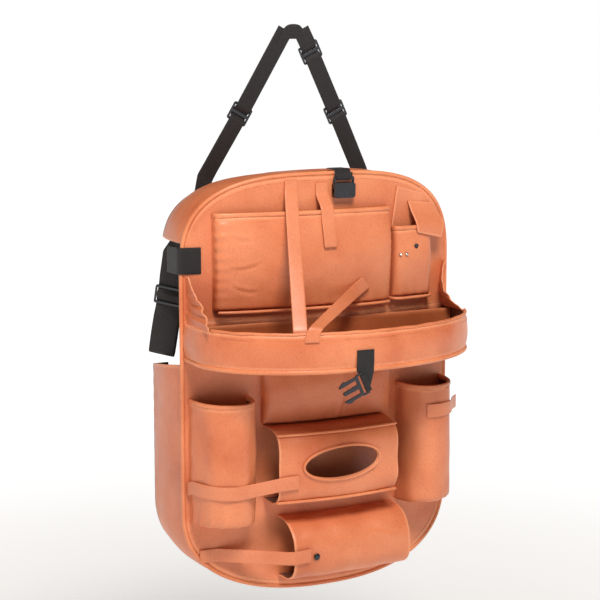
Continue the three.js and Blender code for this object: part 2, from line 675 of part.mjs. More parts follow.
function addHangingStrap() {
  const rear = rearY + clearance + hemThickness - webbingThickness / 2;
  const base = outlineTop(hangSpread) - upperGussetTaper + 12;
  const upwards = new THREE.Vector3(hangSpread - crownWidth / 2, -hangLean, hangHeight - base);
  const legLength = upwards.length();
  const legs = [-1, 1].map((side) => {
    const origin = new THREE.Vector3(side * hangSpread, rear, base);
    const along = upwards.clone().multiply(new THREE.Vector3(-side, 1, 1));
    const across = new THREE.Vector3(0, hangHeight - base, hangLean).cross(along);
    const frame = webbingFrame(origin, along, across);
    return { side, frame };
  });
  const solids = legs.map(({ side, frame }) => {
    const flat = frame.across.clone().setY(0).normalize().multiplyScalar(webbingWidth / 2);
    const foot = frame.origin.clone().add(new THREE.Vector3(side * 6, 0, -30));
    const stops = throughSlider(hangSliderDistance);
    if (side > 0) stops.push(...throughSlider(legLength - crownSliderDrop));
    const end = inFrame(frame, legLength + 6, 0);
    const steps = [{ middle: foot, half: flat }, { middle: frame.origin.clone().setY(rear), half: flat },
      ...webbingSteps(frame, [[14, 0], ...stops]), { middle: end, half: frame.across.clone().multiplyScalar(webbingWidth / 2) }];
    return toManifold(strip(steps, webbingThickness));
  });
  const fold = 9;
  const crown = new THREE.Shape([new THREE.Vector2(-crownWidth / 2 - fold, -fold), new THREE.Vector2(-crownWidth / 2, fold),
    new THREE.Vector2(crownWidth / 2, fold), new THREE.Vector2(crownWidth / 2 + fold, -fold)]);
  const crownGeometry = new THREE.ExtrudeGeometry(crown, { depth: 2.4 * webbingThickness, bevelEnabled: false });
  crownGeometry.translate(0, 0, -1.2 * webbingThickness);
  const upAlong = new THREE.Vector3(0, -hangLean, hangHeight - base);
  const crownFrame = webbingFrame(new THREE.Vector3(0, rear, base), upAlong, new THREE.Vector3(1, 0, 0));
  const crownSolid = toManifold(placeInFrame(crownGeometry, crownFrame, upAlong.length()));
  addPiece('hanging_strap', fromManifold(solids[0].add(solids[1]).add(crownSolid)), webbingMaterial());
  addSlider('left_strap_slider', legs[0].frame, hangSliderDistance);
  addSlider('right_strap_slider', legs[1].frame, hangSliderDistance);
  addSlider('top_strap_slider', legs[1].frame, legLength - crownSliderDrop);
}

// Side straps, that go round the seat: each hangs as a loop from the upper gusset, with a slider on it.

function addSideStrap(name, side, sway) {
  const { top, bottom, forward, rearward, width } = sideStrap;
  const x = side * (halfWidth - 9);
  const y = rearY - forward;
  const origin = new THREE.Vector3(x, y, top);
  const along = new THREE.Vector3(side * 10, forward - rearward, bottom - top);
  const frame = webbingFrame(origin, along, new THREE.Vector3(0.8, side * 0.6, 0));
  const length = along.length();
  const middle = 0.42 * length;
  const turn = 5;
  const swayAt = (share) => sway * Math.sin(Math.PI * share);
  const down = [[0, 0], [middle - 30, 0], ...throughSlider(middle), [middle + 32, swayAt(0.6) * 0.6],
    [0.78 * length, swayAt(0.6)], [length - turn, turn], [length, 0], [length - turn, -turn], [0.8 * length, -6],
    [middle + 26, -6]];
  const flat = new THREE.Vector3(-side * 0.13, 1, 0).normalize().multiplyScalar(side * width / 2);
  const sewn = [[11.3, 533], [7.1, 519]].map(([inset, z]) =>
    ({ middle: new THREE.Vector3(side * (halfWidth - inset - clearance - webbingThickness), y, z), half: flat }));
  const loop = webbingSteps(frame, down, width);
  addPiece(name, strip([...sewn, ...loop], webbingThickness), webbingMaterial());
  addSlider(`${name}_slider`, frame, middle, width);
}

// A webbing tab over the left edge of the body, above the strap on that side.
function addSideTab() {
  const height = 492;
  const across = new THREE.Vector3(0, 0, sideStrap.width / 2);
  const over = pipingRadius + clearance + webbingThickness + 0.3;
  const slope = over * Math.SQRT1_2;
  const off = clearance + webbingThickness / 2 + 0.1;
  const steps = [[-halfWidth + 27, bowY(halfWidth - 27, off)], [-halfWidth + 9, bowY(halfWidth - 9, off + 0.8)],
    [-halfWidth, pipingY(halfWidth) - over], [-halfWidth - slope, pipingY(halfWidth) - slope],
    [-halfWidth - over, pipingY(halfWidth)], [-halfWidth - over - 3, pipingY(halfWidth) + 30]]
    .map(([x, y]) => ({ middle: new THREE.Vector3(x, y, height), half: across }));
  addPiece('left_side_tab', strip(steps, webbingThickness), webbingMaterial());
}

// Buckle: a socket on the top edge of the body, and a plug that hangs from the tray.

const extruded = (shape, depth) => {
  const geometry = new THREE.ExtrudeGeometry(shape, { depth, bevelEnabled: false, curveSegments: 4 });
  return geometry.translate(0, 0, -depth / 2);
};

function boxShape(width, low, high) {
  return roundedRectangle(new THREE.Shape(), width, low, high, 0.4);
}

// The socket's outline runs along the webbing: its loop is near zero and its mouth is at the far end.
function socketSolid() {
  const { width, height, thickness, wall, loopHeight, barHeight } = socket;
  const bodyStart = loopHeight;
  const bodyEnd = loopHeight + height;
  const body = toManifold(extruded(roundedRectangle(new THREE.Shape(), width, bodyStart, bodyEnd, 4), thickness));
  const loop = roundedRectangle(new THREE.Shape(), width - 1, 0, bodyStart + 3, 2);
  loop.holes.push(roundedRectangle(new THREE.Path(), webbingWidth + 1.2, barHeight, bodyStart, 0.6));
  const cavity = extruded(boxShape(width - 2 * wall - 1, bodyStart + 3, bodyEnd + 2), thickness - 2 * wall);
  const windows = extruded(boxShape(width + 4, bodyStart + 8, bodyStart + 15), thickness - 2 * wall - 1.4);
  const thumb = new THREE.SphereGeometry(9, 12, 6);
  thumb.scale(1, 1, 0.14);
  thumb.translate(0, bodyEnd - 7.5, -thickness / 2);
  return body.add(toManifold(extruded(loop, slider.thickness))).subtract(toManifold(cavity))
    .subtract(toManifold(windows)).subtract(toManifold(thumb));
}

// The plug is one profile: a bar for the webbing, a centre guide, and a springy prong on each side.
function plugShape() {
  const { length, width, prong, guide } = plug;
  const half = width / 2;
  const root = 11;
  const shape = new THREE.Shape();
  shape.moveTo(half, 0.8);
  shape.lineTo(half, root - 2);
  shape.quadraticCurveTo(half, root, half - 1.5, root + 0.6);
  shape.lineTo(half - 1.4, length - 13);
  shape.lineTo(half + 0.4, length - 11);
  shape.quadraticCurveTo(half - 0.6, length - 3, half - prong - 1, length);
  shape.lineTo(half - prong - 1.8, length - 2);
  shape.lineTo(half - prong - 1.4, root + 2);
  shape.lineTo(guide / 2, root + 2);
  shape.lineTo(guide / 2 - 0.6, length - 4);
  shape.quadraticCurveTo(0, length - 1.5, -guide / 2 + 0.6, length - 4);
  shape.lineTo(-guide / 2, root + 2);
  shape.lineTo(-half + prong + 1.4, root + 2);
  shape.lineTo(-half + prong + 1.8, length - 2);
  shape.lineTo(-half + prong + 1, length);
  shape.quadraticCurveTo(-half + 0.6, length - 3, -half - 0.4, length - 11);
  shape.lineTo(-half + 1.4, length - 13);
  shape.lineTo(-half + 1.5, root + 0.6);
  shape.quadraticCurveTo(-half, root, -half, root - 2);
  shape.lineTo(-half, 0.8);
  shape.quadraticCurveTo(-half, 0, -half + 0.8, 0);
  shape.lineTo(half - 0.8, 0);
  shape.quadraticCurveTo(half, 0, half, 0.8);
  shape.holes.push(roundedRectangle(new THREE.Path(), webbingWidth + 1, slider.bar - 1, root - 2.4, 0.8));
  return shape;
}

function addTopBuckle() {
  const { x, top } = socket;
  const faceY = pipingY(x) - pipingRadius - clearance - webbingThickness;
  const origin = new THREE.Vector3(x, faceY - passOut, top);
  const frame = webbingFrame(origin, new THREE.Vector3(0, 0, -1), new THREE.Vector3(-1, 0, 0));
  addPiece('top_buckle_socket', placeInFrame(fromManifold(socketSolid()), frame, 0), plasticMaterial());
  const crest = bodyHeight + pipingRadius + clearance + webbingThickness;
  const half = new THREE.Vector3(webbingWidth / 2, 0, 0);
  const over = [[17, crest], [6, crest], [pipingY(x), crest], [pipingY(x) - 4, bodyHeight + 2], [faceY, bodyHeight - 5]]
    .map(([y, z]) => ({ middle: new THREE.Vector3(x, y, z), half }));
  const loop = roundBar(socket.barHeight, socket.barHeight + 0.6, socket.barHeight + 6)
    .map(([distance, out]) => ({ middle: inFrame(frame, distance, -out), half }));
  addPiece('top_buckle_webbing', strip([...over, ...loop], webbingThickness), webbingMaterial());
}

// The point and outward direction of the rim's outer face above a given x of the tray's front.
function rimFace(x) {
  const outline = trayOutline(400, -trayRimThickness / 2);
  const front = outline.filter((p) => p.y < trayBackY - traySidePlane);
  const nearest = front.reduce((best, p) => (Math.abs(p.x - x) < Math.abs(best.x - x) ? p : best));
  const i = outline.indexOf(nearest);
  const along = outline[i + 2].clone().sub(outline[i - 2]).normalize();
  return { y: nearest.y, across: new THREE.Vector3(along.x, along.y, 0), out: new THREE.Vector3(along.y, -along.x, 0) };
}

function addTrayBuckle() {
  const face = rimFace(plugTab.x);
  const pipingHeight = trayBottom + trayPipingRadius;
  const out = trayPipingRadius - trayRimThickness / 2 + clearance + webbingThickness / 2 + 0.4;
  const swell = 3 + clearance + webbingThickness / 2 + 0.4;
  const base = new THREE.Vector3(plugTab.x, face.y, 0);
  const at = (distance, z) => base.clone().addScaledVector(face.out, distance).setZ(z);
  const half = face.across.clone().multiplyScalar(webbingWidth / 2);
  const hang = at(out, trayBottom - 13);
  const downwards = new THREE.Vector3(0, 0, -1).applyAxisAngle(face.out, -plug.tilt);
  const across = new THREE.Vector3().crossVectors(face.out, downwards).negate();
  const origin = hang.clone().addScaledVector(face.out, passOut);
  const frame = webbingFrame(origin, downwards, across);
  const barEnd = slider.bar - 1;
  const tab = [[swell, trayBottom + plugTab.rise + 6], [swell, trayBottom + plugTab.rise - 12], [out, pipingHeight + 3],
    [out, pipingHeight - 3]].map(([d, z]) => ({ middle: at(d, z), half }));
  const sign = frame.out.dot(face.out) > 0 ? 1 : -1;
  const turned = frame.across.clone().multiplyScalar(Math.sign(frame.across.dot(half)) * webbingWidth / 2);
  const loop = roundBar(barEnd, barEnd + 1, barEnd + 3)
    .map(([distance, side]) => ({ middle: inFrame(frame, distance, sign * side), half: turned }));
  addPiece('tray_buckle_webbing', strip([...tab, ...loop], webbingThickness), webbingMaterial());
  addPiece('tray_buckle_plug', placeInFrame(extruded(plugShape(), slider.thickness), frame, 0), plasticMaterial());
}

// Leather bands

function pocketFrontY(pocket, x, z) {
  const share = Math.min(1, Math.max(0, (z - pocket.bottom) / (pocket.top - pocket.bottom)));
  const depth = pocket.depth + pocket.belly * Math.sin(Math.PI * share);
  const middle = (pocket.left + pocket.right) / 2;
  const across = Math.min(1, Math.abs(x - middle) / ((pocket.right - pocket.left) / 2));
  const cosine = across ** (pocket.power / 2);
  const sine = Math.sqrt(Math.max(0, 1 - cosine * cosine));
  return bowY(x, clearance + depth * sine ** (2 / pocket.power));
}

const bandOff = clearance + bandThickness / 2 + 0.3;

// The middle of a band that lies round a pocket, at a turn from 0 at its right side to 1 at its left.
function roundPocket(pocket, turn, z) {
  const share = (z - pocket.bottom) / (pocket.top - pocket.bottom);
  const off = bandOff + 0.6;
  const depth = pocket.depth + pocket.belly * Math.sin(Math.PI * share) + off;
  const reach = (pocket.right - pocket.left) / 2 + off;
  const x = (pocket.left + pocket.right) / 2 + reach * power(Math.cos(Math.PI * turn), 2 / pocket.power);
  return [x, bowY(x, clearance + depth * Math.sin(Math.PI * turn) ** (2 / pocket.power)), z];
}

function addBand(name, places, half, thickness = bandThickness) {
  const steps = places.map(([x, y, z]) => ({ middle: new THREE.Vector3(x, y, z), half }));
  addPiece(name, strip(steps, thickness), leatherMaterial());
}

function addTrayStays() {
  const leftEnd = { x: -104, z: trayTop - 14 };
  const inner = trayOutline(400, trayRimThickness / 2).filter((p) => p.y < trayBackY - traySidePlane)
    .reduce((best, p) => (Math.abs(p.x - leftEnd.x) < Math.abs(best.x - leftEnd.x) ? p : best));
  const facing = rimFace(leftEnd.x);
  const insideY = inner.y + bandOff + 1.5;
  const half = facing.across.clone().multiplyScalar(bandWidth / 2);
  const panelHalf = new THREE.Vector3(bandWidth / 2, 0, 0);
  const step = (x, y, z, h) => ({ middle: new THREE.Vector3(x, y, z), half: h });
  addPiece('left_tray_stay', strip([
    step(-56, bowY(46, bandOff), 602, panelHalf), step(-57, bowY(47, bandOff), 588, panelHalf),
    step(leftEnd.x, insideY, trayTop + 6, half), step(leftEnd.x, insideY, leftEnd.z, half)], bandThickness), leatherMaterial());

  const rightEnd = rimFace(-92);
  const outsideY = rightEnd.y - bandOff - 1.1;
  const start = { x: 53, z: 452 };
  const slant = new THREE.Vector3(0.62, 0, -0.78).multiplyScalar(bandWidth / 2);
  const rimHalf = rightEnd.across.clone().multiplyScalar(bandWidth / 2);
  const frontY = pocketFrontY(tabletPocket, start.x - 12, start.z);
  addPiece('right_tray_stay', strip([
    step(start.x, frontY - bandOff, start.z, slant), step(start.x - 14, frontY - bandOff - 1, start.z - 9, slant),
    step(-86, outsideY, trayTop + 12, slant.clone().lerp(rimHalf, 0.8)), step(-92, outsideY, trayTop + 2, rimHalf),
    step(-92, outsideY - 0.8, trayTop - 8, rimHalf)], bandThickness), leatherMaterial());
}

function addLeatherBands() {
  const upright = new THREE.Vector3(bandWidth / 2, 0, 0);
  const level = new THREE.Vector3(0, 0, bandWidth / 2);
  const tabletFront = (z) => pocketFrontY(tabletPocket, -2, z) - bandOff;
  const bindingFront = tabletFront(tabletPocket.top) - bindingExtra;
  addBand('tablet_pocket_tab', [[-8, bowY(8, bandOff), 597], [-8, bowY(8, bandOff), 580],
    [-8, bindingFront, tabletPocket.top + bindingHeight + 2], [-8, bindingFront, tabletPocket.top - 4],
    [-7, tabletFront(528) - 0.6, 528], [-6, tabletFront(506) - 0.6, 506]], upright);

  const { inner, outer, ...bottle } = bottlePocket;
  const leftBottle = { ...bottle, left: -outer, right: -inner };
  const rightBottle = { ...bottle, left: inner, right: outer };
  const round = (pocket, columns, z) => columns.map((column) => roundPocket(pocket, column / pocketColumns, z));
  const tissueFront = (x) => sleeveFrontY(tissueSleeve, x) - bandOff;
  addBand('left_bottle_band', [[-211, bowY(211, bandOff + 2.6), 163], ...round(leftBottle, [13, 12, 11, 10, 9, 8, 7], 168),
    [-94, tissueFront(-94) - 1, 175], [-72, tissueFront(-72), 176]], level);
  const [rightFront] = round(rightBottle, [3], 257);
  addBand('right_bottle_band', [...round(rightBottle, [9, 8, 7, 6, 5, 4, 3], 257),
    [rightFront[0] + 16, rightFront[1] + 15, 257]], level);
  const sleeveFront = sleeveFrontY(umbrellaSleeve, umbrellaSleeve.left) - bandOff;
  addBand('umbrella_band', [[-194, bowY(194, bandOff + 2), 60], [-170, bowY(170, bandOff), 61],
    [umbrellaSleeve.left - 6, sleeveFront, 64], [umbrellaSleeve.left + 22, sleeveFront - 2, 66]], level);
}

// A flap over the phone pocket: sewn at its top, and wider than the pocket on the right.
function addPhoneFlap() {
  const left = 117;
  const bowed = 1.5;
  const over = phonePocket.depth + bindingExtra + bandOff + bowed;
  const rows = [[572, 170, bandOff + 0.6], [562, 199, bandOff + 3], [phonePocket.top + bindingHeight + 4, 208, over],
    [phonePocket.top - 12, 203, over + 3]];
  const steps = rows.map(([z, right, proud]) => {
    const from = new THREE.Vector3(left, bowY(left, proud), z);
    const to = new THREE.Vector3(right, bowY(right, proud), z);
    return { middle: from.clone().lerp(to, 0.5), half: to.clone().sub(from).multiplyScalar(0.5) };
  });
  addPiece('phone_pocket_flap', strip(steps, bandThickness), leatherMaterial());
}

function stud(radius, height) {
  const profile = [[0, 0], [radius, 0], [radius, height * 0.55], [radius * 0.7, height], [0, height]];
  return new THREE.LatheGeometry(profile.map(([x, y]) => new THREE.Vector2(x, y)), 12);
}

function addStud(name, radius, x, y, z, material) {
  const geometry = stud(radius, 1.8);
  geometry.rotateX(Math.PI);
  geometry.translate(x, y - clearance, z);
  addPiece(name, geometry, material);
}

// Pipings along the lower edges of the pockets and the edges of the tissue sleeve.

function addFootPiping(name, pocket, steps) {
  const radius = 2.4;
  const front = planSection(pocket, pocket.bottom, -radius * 0.4, 0, steps).slice(1, steps);
  addPiece(name, tube(front.map((p) => p.setZ(pocket.bottom - radius - clearance)), radius, 6), pipingMaterial());
}

function addSleevePiping(name, sleeve, share) {
  const radius = 2.2;
  const surface = sleeveSurface(sleeve, 0);
  const column = Math.round(share * sleeveSteps);
  const outwards = new THREE.Vector3(0, -1, share < 0.5 ? 1 : -1).normalize().multiplyScalar(radius + clearance + 0.5);
  const path = surface.map((line) => line[column].clone().add(outwards));
  addPiece(name, tube(path, radius, 6), pipingMaterial());
}

function addTrimmings() {
  addFootPiping('tablet_pocket_foot_piping', tabletPocket, pocketColumns);
  addFootPiping('phone_pocket_foot_piping', phonePocket, 12);
  addSleevePiping('tissue_sleeve_top_piping', tissueSleeve, 0.25);
  addSleevePiping('tissue_sleeve_foot_piping', tissueSleeve, 0.75);
  addStud('umbrella_sleeve_snap', snapRadius, -44, sleeveFrontY(umbrellaSleeve, -44), 62, plasticMaterial());
  addStud('phone_pocket_snap', 3.4, 141, pocketFrontY(phonePocket, 141, 499) - 0.6, 499, plasticMaterial());
  for (const [side, x] of [['left', 113], ['right', 123]]) {
    addStud(`phone_pocket_rivet_${side}`, rivetRadius, x, pocketFrontY(phonePocket, x, 488) - 0.6, 488, metalMaterial());
  }
}

addBody();
addGussets();
addPockets();
addSleeves();
addTray();
addHangingStrap();
addSideStrap('left_side_strap', -1, 6);
addSideStrap('right_side_strap', 1, 22);
addSideTab();
addTopBuckle();
addTrayBuckle();
addTrayStays();
addLeatherBands();
addPhoneFlap();
addTrimmings();

organizer.position.set(0, -(rearY + clearance + hemThickness), -hemWidth / 2);
export default organizer;
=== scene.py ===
"""Looks of a car seat back organizer: orange coated leather, black webbing and moulded buckles.

Sizes are millimetres in the part's own frame (z from the body's lowest edge, y from the rear of the
lining, the front towards -y); place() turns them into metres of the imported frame.
"""

import math

import bmesh
import bpy
import numpy as np
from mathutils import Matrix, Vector


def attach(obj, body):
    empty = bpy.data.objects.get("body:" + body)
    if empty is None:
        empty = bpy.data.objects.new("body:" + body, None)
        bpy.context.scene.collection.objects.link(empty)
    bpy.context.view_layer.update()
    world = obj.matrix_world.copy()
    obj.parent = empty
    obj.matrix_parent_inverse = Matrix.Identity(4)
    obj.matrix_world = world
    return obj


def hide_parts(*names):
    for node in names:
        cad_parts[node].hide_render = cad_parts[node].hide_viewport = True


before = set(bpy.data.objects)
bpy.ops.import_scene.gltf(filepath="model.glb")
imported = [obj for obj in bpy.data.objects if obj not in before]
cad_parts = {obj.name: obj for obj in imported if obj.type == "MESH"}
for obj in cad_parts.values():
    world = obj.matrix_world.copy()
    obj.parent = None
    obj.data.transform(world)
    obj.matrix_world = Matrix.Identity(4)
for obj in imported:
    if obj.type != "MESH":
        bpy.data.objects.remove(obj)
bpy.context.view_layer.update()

# Body
HALF_WIDTH = 215.0
BODY_HEIGHT = 610.0
BOW = 26.0
ARCH_SPRING, ARCH_POWER = 468.0, 3.0
FOOT_SPRING, FOOT_POWER = 128.0, 2.5
CLEARANCE = 0.3
STACK_FRONT = -7.1
PIPING = 3.2
EDGE_Y = STACK_FRONT + BOW
GUSSET_REAR = 133.9
GUSSET_WALL = 2.5
GUSSET_SWELL = 5.0
REAR_PLANE = 136.2
HALF_HEM = 12.0
HEM = 24.0
SEAM_HEIGHT = 404.0
EDGE_INSET = PIPING + CLEARANCE + 0.5

# Pockets and sleeves: left, right, bottom, top, depth, belly, wall, power, and the roundness of the foot
TABLET = dict(left=-172, right=102, bottom=421, top=552, depth=17, belly=7, wall=2.4, power=7, foot=7)
PHONE = dict(left=106, right=174, bottom=425, top=522, depth=22, belly=4, wall=2.4, power=5, foot=7)
FLAT = dict(left=-102, right=105, bottom=252, top=338, depth=15, belly=9, wall=2.4, power=4, foot=6)
LEFT_BOTTLE = dict(left=-207, right=-121, bottom=112, top=287, depth=62, belly=3, wall=2.6, power=2.3, foot=14)
RIGHT_BOTTLE = dict(LEFT_BOTTLE, left=121, right=207)
TISSUE = dict(left=-99, right=91, bottom=138, top=250, depth=55, belly=7, wall=2.6, power=4.2)
UMBRELLA = dict(left=-76, right=112, bottom=20, top=112, depth=58, belly=3, wall=2.6, power=2.5)
OVAL = dict(x=-3, height=199, across=59, up=22, piping=2.2, tilt=0.05)
BINDING_HEIGHT, BINDING_EXTRA = 7.0, 1.1

# Tray
TRAY_HALF = 210.0
TRAY_BOTTOM = 348.0
TRAY_PIPING = 3.6
RIM_HEIGHT, RIM_WALL = 46.0, 3.2
TRAY_DEPTH = 147.0
TRAY_PLANE = 12.0
TRAY_POWER = 2.05
BACK_WALL = 2.5
TRAY_TOP = TRAY_BOTTOM + 2 * TRAY_PIPING + CLEARANCE + RIM_HEIGHT
TRAY_BACK_Y = STACK_FRONT - CLEARANCE - BACK_WALL

# Webbing, bands and their fittings
WEBBING, WEBBING_WALL = 26.0, 1.5
HANG_HEIGHT, HANG_SPREAD, HANG_LEAN, CROWN = 813.0, 130.0, 32.0, 26.0
HANG_SLIDER, TOP_SLIDER_DROP = 108.0, 37.0
BAND, BAND_WALL = 20.0, 1.6
BAND_OFF = CLEARANCE + BAND_WALL / 2 + 0.3
PASS = 1.2 + WEBBING_WALL / 2 + CLEARANCE + 0.05
SLIDER_HALF, END_BAR, HALF_MIDDLE_BAR = 14, 4, 2.5

# Light: the room's strength overhead, and the softboxes in watts
ROOM_LIGHT = 0.06
KEY_POWER, FILL_POWER, SIDE_POWER = 83.0, 2.0, 9.0


# Camera, light and floor


def add_object(name, data):
    """A new object of the scene that has these data."""
    thing = bpy.data.objects.new(name, data)
    bpy.context.scene.collection.objects.link(thing)
    return thing


def look_from(azimuth, elevation, distance, target, lens):
    """The camera stands at target plus distance times the direction at that azimuth and elevation."""
    a, e = math.radians(azimuth), math.radians(elevation)
    back = Vector((math.sin(a) * math.cos(e), -math.cos(a) * math.cos(e), math.sin(e)))
    camera = add_object("camera", bpy.data.cameras.new("camera"))
    camera.data.lens = lens
    camera.data.sensor_width = 36
    camera.data.clip_end = 100
    camera.location = Vector(target) + back * distance
    camera.rotation_euler = (-back).to_track_quat("-Z", "Y").to_euler()
    bpy.context.scene.camera = camera


def soft_light(name, place_at, aim, size, power, colour):
    """A square softbox at a point, turned to shine on another."""
    light = bpy.data.lights.new(name, "AREA")
    light.shape = "SQUARE"
    light.size = size
    light.energy = power
    light.color = linear(colour)[:3]
    lamp = add_object(name, light)
    lamp.location = place_at
    direction = Vector(aim) - Vector(place_at)
    lamp.rotation_euler = direction.to_track_quat("-Z", "Y").to_euler()


def studio():
    """A pale floor well below the hung organizer, a room that is white round the horizon and dim
    above, and softboxes in front."""
    scene = bpy.context.scene
    scene.view_settings.view_transform = "Standard"
    world = bpy.data.worlds.new("white_room")
    world.use_nodes = True
    tree = world.node_tree
    tree.nodes.clear()
    direction = add_node(tree, "ShaderNodeTexCoord").outputs["Generated"]
    height = add_node(tree, "ShaderNodeSeparateXYZ", {0: direction}).outputs["Z"]
    strength = add_node(tree, "ShaderNodeMapRange", {"Value": height, "From Min": 0.03, "From Max": 0.15,
                                                     "To Min": 1.0, "To Max": ROOM_LIGHT})
    room = add_node(tree, "ShaderNodeBackground", {"Color": "#FFFFFF", "Strength": strength.outputs["Result"]})
    output = tree.nodes.new("ShaderNodeOutputWorld")
    tree.links.new(room.outputs[0], output.inputs["Surface"])
    scene.world = world
    mesh = bpy.data.meshes.new("floor")
    half, level = 15, -0.45
    mesh.from_pydata([(-half, -half, level), (half, -half, level), (half, half, level), (-half, half, level)],
                     [], [(0, 1, 2, 3)])
    floor = add_object("floor", mesh)
    mesh.materials.append(painted_floor())
    soft_light("key_softbox", (-0.45, -1.9, 2.5), (0, -0.1, 0.35), 0.8, KEY_POWER, "#FFF8F2")
    soft_light("front_softbox", (0.5, -2.6, 0.7), (0, -0.1, 0.4), 1.6, FILL_POWER, "#FFF5EC")
    soft_light("left_softbox", (-2.5, -0.3, 1.0), (0, -0.1, 0.3), 1.2, SIDE_POWER, "#FFDDC4")


# Materials


def linear(colour):
    """An sRGB hex colour as linear red, green, blue and alpha."""
    parts = [int(colour[i:i + 2], 16) / 255 for i in (1, 3, 5)]
    return [c / 12.92 if c <= 0.04045 else ((c + 0.055) / 1.055) ** 2.4 for c in parts] + [1.0]


def add_node(tree, kind, inputs=(), **settings):
    """Adds one node; an input is given a value, a hex colour, or another node's output to link from."""
    node = tree.nodes.new(kind)
    for key, value in settings.items():
        setattr(node, key, value)
    for socket, value in dict(inputs).items():
        if isinstance(value, bpy.types.NodeSocket):
            tree.links.new(value, node.inputs[socket])
        else:
            node.inputs[socket].default_value = linear(value) if isinstance(value, str) else value
    return node


def new_material(name, settings):
    """A material with only its output and a Principled shader that has these settings."""
    material = bpy.data.materials.new(name)
    material.use_nodes = True
    tree = material.node_tree
    tree.nodes.clear()
    output = tree.nodes.new("ShaderNodeOutputMaterial")
    shader = add_node(tree, "ShaderNodeBsdfPrincipled", settings)
    tree.links.new(shader.outputs[0], output.inputs["Surface"])
    return material, tree, shader


def object_spot(tree):
    """The object's own coordinates, which its textures follow."""
    return add_node(tree, "ShaderNodeTexCoord").outputs["Object"]


def noise(tree, scale, detail, roughness=0.5):
    """The factor of a noise texture over the object's own coordinates."""
    return add_node(tree, "ShaderNodeTexNoise", {"Vector": object_spot(tree), "Scale": scale, "Detail": detail,
                                                 "Roughness": roughness}).outputs["Fac"]


def colour_steps(tree, factor, *stops):
    """A colour ramp through (position, hex colour) stops."""
    ramp = add_node(tree, "ShaderNodeValToRGB", {"Fac": factor})
    elements = ramp.color_ramp.elements
    while len(elements) < len(stops):
        elements.new(0.5)
    for element, (position, colour) in zip(elements, stops):
        element.position = position
        element.color = linear(colour)
    return ramp.outputs["Color"]


def paint(shader, factor, *stops):
    """Gives a shader the colours of a ramp through the stops."""
    tree = shader.id_data
    tree.links.new(colour_steps(tree, factor, *stops), shader.inputs["Base Color"])


def gloss(shader, factor, low, high):
    """Gives a shader a roughness that runs from low to high with the factor."""
    tree = shader.id_data
    spread = add_node(tree, "ShaderNodeMapRange", {"Value": factor, "To Min": low, "To Max": high})
    tree.links.new(spread.outputs["Result"], shader.inputs["Roughness"])


def emboss(shader, height, strength, distance, invert=False):
    """Gives a shader a bump of this height, on top of the bump it has."""
    tree, normal = shader.id_data, shader.inputs["Normal"]
    inputs = {"Height": height, "Strength": strength, "Distance": distance}
    if normal.is_linked:
        inputs["Normal"] = normal.links[0].from_socket
    bump = add_node(tree, "ShaderNodeBump", inputs, invert=invert)
    tree.links.new(bump.outputs["Normal"], normal)


def coated_leather(name, light, mid, dark, rub_highlight_colour):
    """Polyurethane coated split leather, embossed and slightly waxy: the eye gets a soft gloss over a fine pebbled
    grain. The real grain is about 0.9 mm; it is drawn at 2.2 mm, or it wouldn't show. Colour drifts over 90 mm
    patches, rolled edges are lighter as rubbed wear and as a painted highlight, and the ground between the pebbles
    is a little darker."""
    material, tree, shader = new_material(name, {"IOR": 1.48, "Specular IOR Level": 0.4, "Coat Weight": 0.12,
                                                 "Coat Roughness": 0.3})
    patches = colour_steps(tree, noise(tree, 11.0, 3.0), (0.3, dark), (0.5, mid), (0.72, light))
    # Lighter rolled edges: rubbed wear and a painted highlight.
    worn_and_highlit = add_node(tree, "ShaderNodeAttribute", attribute_name="rub_and_highlight").outputs["Fac"]
    edge = add_node(tree, "ShaderNodeMix", {"Factor": worn_and_highlit, "A": patches, "B": rub_highlight_colour}, data_type="RGBA")
    grain = add_node(tree, "ShaderNodeTexVoronoi", {"Vector": object_spot(tree), "Scale": 450.0},
                     feature="SMOOTH_F1").outputs["Distance"]
    ground = colour_steps(tree, grain, (0.35, "#FFFFFF"), (0.95, "#F2E8E1"))
    mixed = add_node(tree, "ShaderNodeMix", {"Factor": 1.0, "A": edge.outputs["Result"], "B": ground},
                     data_type="RGBA", blend_type="MULTIPLY")
    tree.links.new(mixed.outputs["Result"], shader.inputs["Base Color"])
    creases = noise(tree, 60.0, 4.0, 0.6)
    gloss(shader, creases, 0.34, 0.50)
    emboss(shader, grain, 0.09, 0.0006, invert=True)
    emboss(shader, creases, 0.16, 0.0030)
    return material


def knit_backing_with_painted_shade():
    """The leather's knitted backing cloth, seen inside pockets, sleeves and the tray's rim: matt, with 1.5 mm loops.
    Its dark brown is partly the cloth's own colour and partly painted shade for the insides; inside the tray's
    rim, which is leather, it is painted shade only.
    """
    material, tree, shader = new_material("knit_backing_with_painted_shade", {"Roughness": 0.88, "IOR": 1.5, "Sheen Weight": 0.1})
    loops = add_node(tree, "ShaderNodeTexVoronoi", {"Vector": object_spot(tree), "Scale": 620.0}).outputs["Distance"]
    # Dark brown loops: the backing's own colour, darkened further as painted shade for the insides.
    paint(shader, loops, (0.2, "#6E3A20"), (0.8, "#4A2412"))
    emboss(shader, loops, 0.3, 0.0004)
    return material


